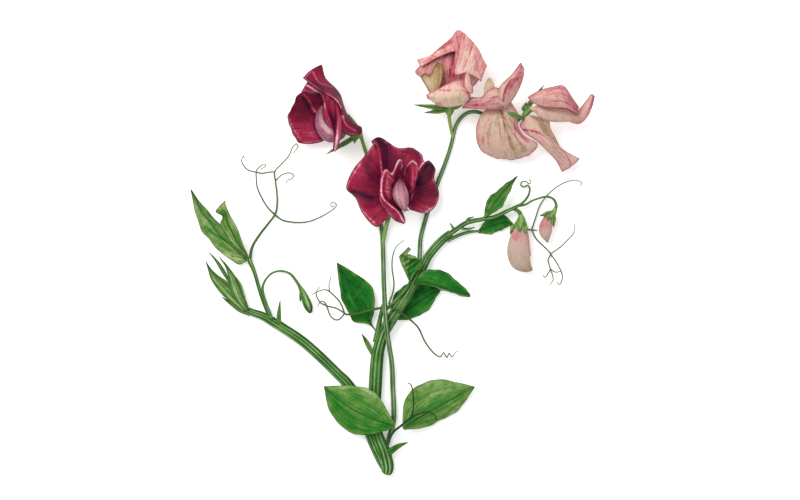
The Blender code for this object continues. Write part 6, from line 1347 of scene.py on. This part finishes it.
# Lines of painted shade along its folds and painted highlights along its lit ridges.
TOP_WING_NEAR_SHADE_AND_HIGHLIGHTS = [
    ([(20.4, 73.2), (25.4, 73.0), (30.6, 73.0), (34.0, 71.8)], 0.4, 0.3),
    ([(21.0, 74.4), (25.4, 76.6), (31.4, 78.2)], 0.35, 0.34),
    ([(17.4, 69.6), (23.0, 68.6), (29.0, 69.4)], 0.9, -0.14)]
TOP_WING_FAR = [
    [(32.4, 80.6, 17.6, 0.76), (33.4, 81.0, 18.0, 0.62), (34.6, 79.8, 16.4, 0.7)],
    [(31.8, 77.4, 18.2, 0.84), (33.2, 77.0, 18.4, 0.56), (35.2, 76.6, 16.4, 0.76)],
    [(31.6, 74.6, 17.4, 0.84), (33.8, 74.0, 17.6, 0.6), (36.0, 73.6, 15.6, 0.8)],
    [(33.6, 72.4, 15.6, 0.8), (34.9, 71.6, 15.6, 0.7), (35.8, 72.0, 15.0, 0.8)]]
TOP_KEEL = [
    [(17.4, 70.2, 11.8, 0.8), (17.7, 70.0, 11.6, 0.7), (18.0, 69.9, 11.6, 0.7), (18.4, 69.9, 11.6, 0.7),
     (18.9, 70.0, 11.8, 0.7), (19.4, 70.4, 12.0, 0.8)],
    [(14.4, 75.6, 13.8, 0.5), (15.6, 75.4, 13.4, 0.6), (17.0, 75.2, 13.4, 0.66), (18.6, 75.4, 13.6, 0.5),
     (20.4, 75.8, 13.8, 0.36), (21.6, 76.4, 14.6, 0.3)],
    [(12.6, 78.6, 15.0, 0.36), (14.0, 78.8, 14.6, 0.44), (16.4, 78.6, 14.4, 0.5), (18.4, 80.6, 14.6, 0.3),
     (20.4, 81.2, 14.8, 0.24), (22.4, 81.4, 15.4, 0.26)],
    [(13.0, 80.2, 16.0, 0.1), (14.4, 80.8, 15.7, 0.16), (16.6, 79.8, 15.0, 0.3), (18.2, 83.4, 15.4, 0.12),
     (20.0, 85.6, 15.6, 0.06), (22.0, 84.8, 15.8, 0.12)]]
piece("top_bloom_standard",
      [blade(TOP_STANDARD, 16, 16, ruffle=(0.5, 3.0), shade_and_highlight_lines=TOP_STANDARD_SHADE_AND_HIGHLIGHTS, seed=7.0)],
      PALE_PETAL)
piece("top_bloom_wing_near",
      [blade(TOP_WING_NEAR, 14, 14, ruffle=(0.4, 2.0), shade_and_highlight_lines=TOP_WING_NEAR_SHADE_AND_HIGHLIGHTS, seed=8.0)],
      PALE_PETAL)
piece("top_bloom_wing_far", [blade(TOP_WING_FAR, 10, 10, seed=9.0)], PALE_PETAL)
piece("top_bloom_keel", [blade(TOP_KEEL, 12, 12, ruffle=(0.2, 2.0), seed=10.0)], PALE_KEEL)

# %% [markdown]
# ## The middle bloom
# An older bloom whose standard hangs down like an apron, with brown pleats that fan out from the claw. One
# wing lies across it as a rosy band, and the other stands up as a point. Along the pleats the tone has
# painted shade in each fold and a painted highlight on each ridge.

# %% The middle bloom, with its standard hanging
MIDDLE_STANDARD = [
    [(43.6, 65.2, 7.8, 0.44), (45.6, 65.8, 8.0, 0.46), (47.8, 66.2, 8.2, 0.46), (50.2, 67.4, 8.0, 0.5),
     (52.8, 68.6, 7.8, 0.6)],
    [(40.4, 63.6, 8.4, 0.44), (44.0, 62.0, 10.2, 0.46), (48.0, 61.6, 11.2, 0.44), (52.4, 62.4, 10.4, 0.5),
     (56.4, 62.6, 8.8, 0.6)],
    [(37.8, 57.6, 7.0, 0.52), (42.5, 56.4, 10.2, 0.42), (48.5, 56.0, 12.0, 0.42), (53.0, 56.6, 11.0, 0.5),
     (56.0, 58.0, 8.4, 0.6)],
    [(37.7, 51.6, 5.0, 0.56), (42.6, 50.0, 8.4, 0.46), (49.2, 49.6, 10.4, 0.46), (54.6, 51.0, 10.5, 0.42),
     (58.8, 53.0, 9.6, 0.7)],
    [(39.8, 46.6, 3.0, 0.58), (45.0, 45.2, 5.6, 0.5), (51.0, 44.8, 7.6, 0.46), (58.0, 46.0, 8.4, 0.4),
     (64.4, 50.0, 9.0, 0.56)],
    [(42.6, 44.2, 1.6, 0.7), (47.6, 42.9, 2.8, 0.66), (53.0, 42.3, 4.4, 0.62), (60.0, 43.6, 5.8, 0.5),
     (65.2, 47.8, 7.2, 0.8)]]
# Lines of painted shade along its folds and painted highlights along its lit ridges.
MIDDLE_STANDARD_SHADE_AND_HIGHLIGHTS = [
    ([(48.2, 64.2), (50.4, 57.0), (53.0, 49.4), (55.8, 43.4)], 0.8, -0.3),
    ([(49.2, 63.6), (53.4, 54.8), (59.6, 46.6)], 0.6, -0.22),
    ([(47.2, 64.0), (48.0, 55.0), (51.0, 45.0)], 0.45, -0.18),
    ([(45.6, 64.0), (43.4, 57.0), (42.8, 49.0)], 0.45, -0.16),
    ([(50.6, 62.0), (53.8, 58.6), (56.4, 54.0), (60.6, 50.0)], 0.5, 0.28),
    ([(44.6, 62.6), (41.4, 57.0), (40.6, 50.4)], 0.5, 0.2),
    ([(48.8, 60.0), (49.6, 52.0), (53.6, 45.0)], 0.45, 0.22),
    ([(39.6, 62.6), (38.6, 57.0), (38.8, 51.0)], 0.6, 0.14)]
MIDDLE_WING_RIGHT = [
    [(47.4, 66.2, 12.0, 0.6), (48.8, 65.4, 12.4, 0.62), (50.6, 65.0, 11.6, 0.62)],
    [(47.0, 72.0, 14.4, 0.46), (50.4, 71.0, 16.0, 0.66), (54.2, 69.6, 13.4, 0.5)],
    [(48.8, 76.0, 14.5, 0.44), (52.2, 75.2, 17.0, 0.74), (57.0, 75.0, 14.5, 0.66)],
    [(53.4, 80.4, 15.0, 0.6), (55.8, 79.6, 16.5, 0.76), (58.6, 79.6, 15.0, 0.7)],
    [(57.2, 85.6, 14.8, 0.86), (57.8, 85.0, 15.0, 0.8), (59.0, 82.6, 14.8, 0.72)]]
# Lines of painted shade along its folds and painted highlights along its lit ridges.
MIDDLE_WING_RIGHT_SHADE_AND_HIGHLIGHTS = [
    ([(49.2, 68.0), (50.4, 73.4), (53.0, 78.4)], 0.45, 0.3),
    ([(48.2, 72.6), (50.4, 76.4), (53.4, 79.6)], 0.8, -0.2)]
# The left wing lies across the bloom as one rosy band from its root to its tip at the left.
MIDDLE_WING_LEFT = [
    [(50.6, 69.8, 12.4, 0.6), (50.2, 67.4, 13.6, 0.6), (49.6, 65.0, 12.2, 0.6)],
    [(46.6, 74.4, 14.0, 0.56), (46.2, 69.4, 15.6, 0.66), (46.0, 64.7, 13.4, 0.56)],
    [(42.8, 73.0, 14.2, 0.6), (42.0, 68.4, 15.4, 0.68), (41.6, 64.6, 13.0, 0.56)],
    [(39.4, 70.0, 13.4, 0.64), (38.2, 67.4, 14.4, 0.7), (37.4, 64.9, 12.4, 0.6)],
    [(34.6, 70.0, 12.0, 0.3), (34.2, 67.4, 12.8, 0.72), (33.8, 65.2, 11.6, 0.66)],
    [(31.4, 66.0, 11.0, 0.66), (31.1, 65.6, 11.2, 0.7), (30.9, 65.1, 11.0, 0.66)]]
# Lines of painted shade along its folds and painted highlights along its lit ridges.
MIDDLE_WING_LEFT_SHADE_AND_HIGHLIGHTS = [
    ([(48.4, 71.0), (45.4, 70.0), (41.6, 67.4), (36.0, 66.4)], 0.5, 0.16),
    ([(39.8, 69.8), (42.4, 72.4), (46.2, 74.0)], 0.4, 0.24),
    ([(50.2, 66.2), (46.4, 65.4), (41.8, 65.2)], 0.4, 0.24)]


def pale_keel_blush(v, turn):
    return 0.7 + 0.12 * np.sin(2 * pi * turn * 3) - 0.3 * np.clip((v - 0.7) / 0.3, 0, 1)


piece("middle_bloom_standard",
      [blade(MIDDLE_STANDARD, 14, 16, ruffle=(0.4, 3.0), shade_and_highlight_lines=MIDDLE_STANDARD_SHADE_AND_HIGHLIGHTS, seed=11.0)],
      DUSKY_PETAL)
for name, cage, shade_and_highlight_lines, seed in (
        ("middle_bloom_wing_right", MIDDLE_WING_RIGHT, MIDDLE_WING_RIGHT_SHADE_AND_HIGHLIGHTS, 12.0),
        ("middle_bloom_wing_left", MIDDLE_WING_LEFT, MIDDLE_WING_LEFT_SHADE_AND_HIGHLIGHTS, 13.0)):
    piece(name, [blade(cage, 12, 20, ruffle=(0.3, 2.0), shade_and_highlight_lines=shade_and_highlight_lines, seed=seed)], DUSKY_PETAL)
piece("middle_bloom_keel", [pod([
    (44.4, 65.4, 8.6, 0.8, 0.8), (43.8, 67.2, 9.4, 1.6, 1.2), (43.5, 71.0, 9.6, 2.7, 1.6),
    (43.4, 75.4, 9.8, 2.3, 1.6), (43.4, 78.8, 10.0, 0.7, 0.7)], cuts=8, sides=40, seams=(0.02, 0.48),
    groove=0.05, blush=pale_keel_blush)], PALE_KEEL)

# %% [markdown]
# ## The right bloom
# The oldest bloom is limp. Its standard is folded back into a narrow strip that flares at its end, its near
# wing is a rosy roof over the pale keel, and its far wing curls up at the tip. The strip is lofted along its
# length, so the sharp fold down its middle stays one clean crease.

# %% The right bloom, with its standard folded back
RIGHT_STANDARD = [
    [(62.6, 62.2, 7.8, 0.4), (61.0, 62.2, 8.4, 0.36), (59.0, 61.0, 7.6, 0.6)],
    [(69.6, 60.4, 7.2, 0.44), (64.0, 59.4, 10.6, 0.42), (57.2, 57.8, 6.6, 0.56)],
    [(70.8, 56.2, 8.0, 0.42), (66.0, 54.8, 11.6, 0.44), (59.8, 54.0, 7.6, 0.7)],
    [(73.2, 51.8, 8.0, 0.42), (69.6, 50.4, 11.8, 0.4), (64.8, 50.4, 8.8, 0.66)],
    [(75.4, 48.2, 6.6, 0.4), (73.0, 46.4, 10.2, 0.4), (69.6, 45.8, 7.0, 0.66)],
    [(78.6, 45.9, 4.6, 0.5), (76.8, 43.4, 7.2, 0.4), (73.4, 41.8, 4.6, 0.66)],
    [(84.4, 42.8, 2.8, 0.6), (81.2, 39.8, 5.0, 0.5), (76.2, 36.6, 1.4, 0.7)]]
# Lines of painted shade along its folds and painted highlights along its lit ridges.
RIGHT_STANDARD_SHADE_AND_HIGHLIGHTS = [
    ([(58.4, 55.8), (62.4, 55.2), (65.8, 54.2), (69.4, 51.6), (73.2, 48.4), (77.2, 45.2), (80.2, 40.4)],
     0.5, 0.42),
    ([(62.6, 61.0), (66.4, 57.6), (70.6, 53.0), (74.0, 48.8)], 0.9, -0.1),
    ([(64.0, 53.4), (69.0, 49.2), (73.6, 44.6), (77.0, 40.0)], 0.8, 0.1),
    ([(66.6, 60.0), (69.0, 56.4), (72.0, 51.6)], 0.4, -0.16)]
RIGHT_WING_NEAR = [
    [(60.5, 70.2, 11.6, 0.8), (61.2, 69.2, 12.4, 0.7), (62.0, 68.2, 12.0, 0.6)],
    [(65.2, 72.9, 14.0, 0.7), (66.0, 69.6, 17.0, 0.62), (66.6, 65.6, 14.6, 0.7)],
    [(71.0, 74.8, 14.5, 0.7), (71.8, 70.0, 18.6, 0.62), (72.6, 64.9, 16.0, 0.7)],
    [(76.8, 75.4, 14.0, 0.8), (77.2, 69.8, 18.2, 0.7), (77.6, 64.3, 15.6, 0.76)],
    [(81.0, 69.4, 13.2, 0.86), (81.2, 66.2, 15.8, 0.84), (81.2, 62.6, 13.8, 0.84)],
    [(83.4, 65.8, 12.4, 0.84), (83.2, 64.2, 12.8, 0.84), (82.6, 62.0, 12.4, 0.8)]]
# Lines of painted shade along its folds and painted highlights along its lit ridges.
RIGHT_WING_NEAR_SHADE_AND_HIGHLIGHTS = [
    ([(64.6, 66.6), (69.4, 65.4), (74.0, 65.4), (78.4, 64.8), (82.2, 62.6)], 0.35, 0.3),
    ([(66.6, 72.6), (67.4, 69.6), (67.6, 66.8)], 0.3, 0.12),
    ([(74.4, 74.6), (76.6, 70.0), (78.8, 66.0)], 0.5, 0.14)]
RIGHT_WING_FAR = [
    [(76.6, 61.2, 7.2, 0.6), (77.8, 60.2, 8.0, 0.5), (78.6, 59.4, 7.6, 0.6)],
    [(82.2, 63.6, 9.0, 0.7), (83.0, 60.6, 10.2, 0.6), (83.8, 58.3, 8.0, 0.7)],
    [(84.0, 65.4, 9.6, 0.72), (85.6, 62.8, 11.4, 0.6), (87.4, 61.2, 9.6, 0.62)],
    [(86.6, 68.4, 10.6, 0.76), (87.6, 66.4, 12.4, 0.68), (89.4, 65.6, 10.6, 0.74)],
    [(88.8, 71.4, 11.2, 0.8), (89.6, 71.6, 11.6, 0.66), (90.6, 70.8, 11.2, 0.6)]]


def right_keel_blush(v, turn):
    return 0.44 + 0.2 * np.clip((v - 0.5) / 0.5, 0, 1) + 0.06 * np.sin(2 * pi * turn * 3)


for name, cage, shade_and_highlight_lines, seed in (
        ("right_bloom_standard", RIGHT_STANDARD, RIGHT_STANDARD_SHADE_AND_HIGHLIGHTS, 14.0),
        ("right_bloom_wing_near", RIGHT_WING_NEAR, RIGHT_WING_NEAR_SHADE_AND_HIGHLIGHTS, 15.0),
        ("right_bloom_wing_far", RIGHT_WING_FAR, (), 16.0)):
    piece(name, [blade(cage, 14, 22, ruffle=(0.3, 2.0), shade_and_highlight_lines=shade_and_highlight_lines, seed=seed)], DUSKY_PETAL)
piece("right_bloom_keel", [pod([
    (62.0, 65.4, 8.2, 0.8, 0.8), (64.6, 64.6, 9.6, 1.6, 1.4), (68.4, 63.4, 10.6, 3.4, 2.4),
    (73.6, 62.6, 10.8, 3.6, 2.4), (79.4, 61.8, 9.8, 2.6, 1.8), (82.2, 61.2, 9.4, 0.5, 0.6)], cuts=8, sides=40,
    seams=(0.3,), groove=0.06, blush=right_keel_blush, seed=2.0)], DUSKY_PETAL)

# %% [markdown]
# ## Closing
# Each node of the frame must have been replaced, or its plain solid would still show.

# %% Closing
left_over = [name for name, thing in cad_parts.items() if not thing.hide_render]
print("nodes with no detailed piece:", left_over)
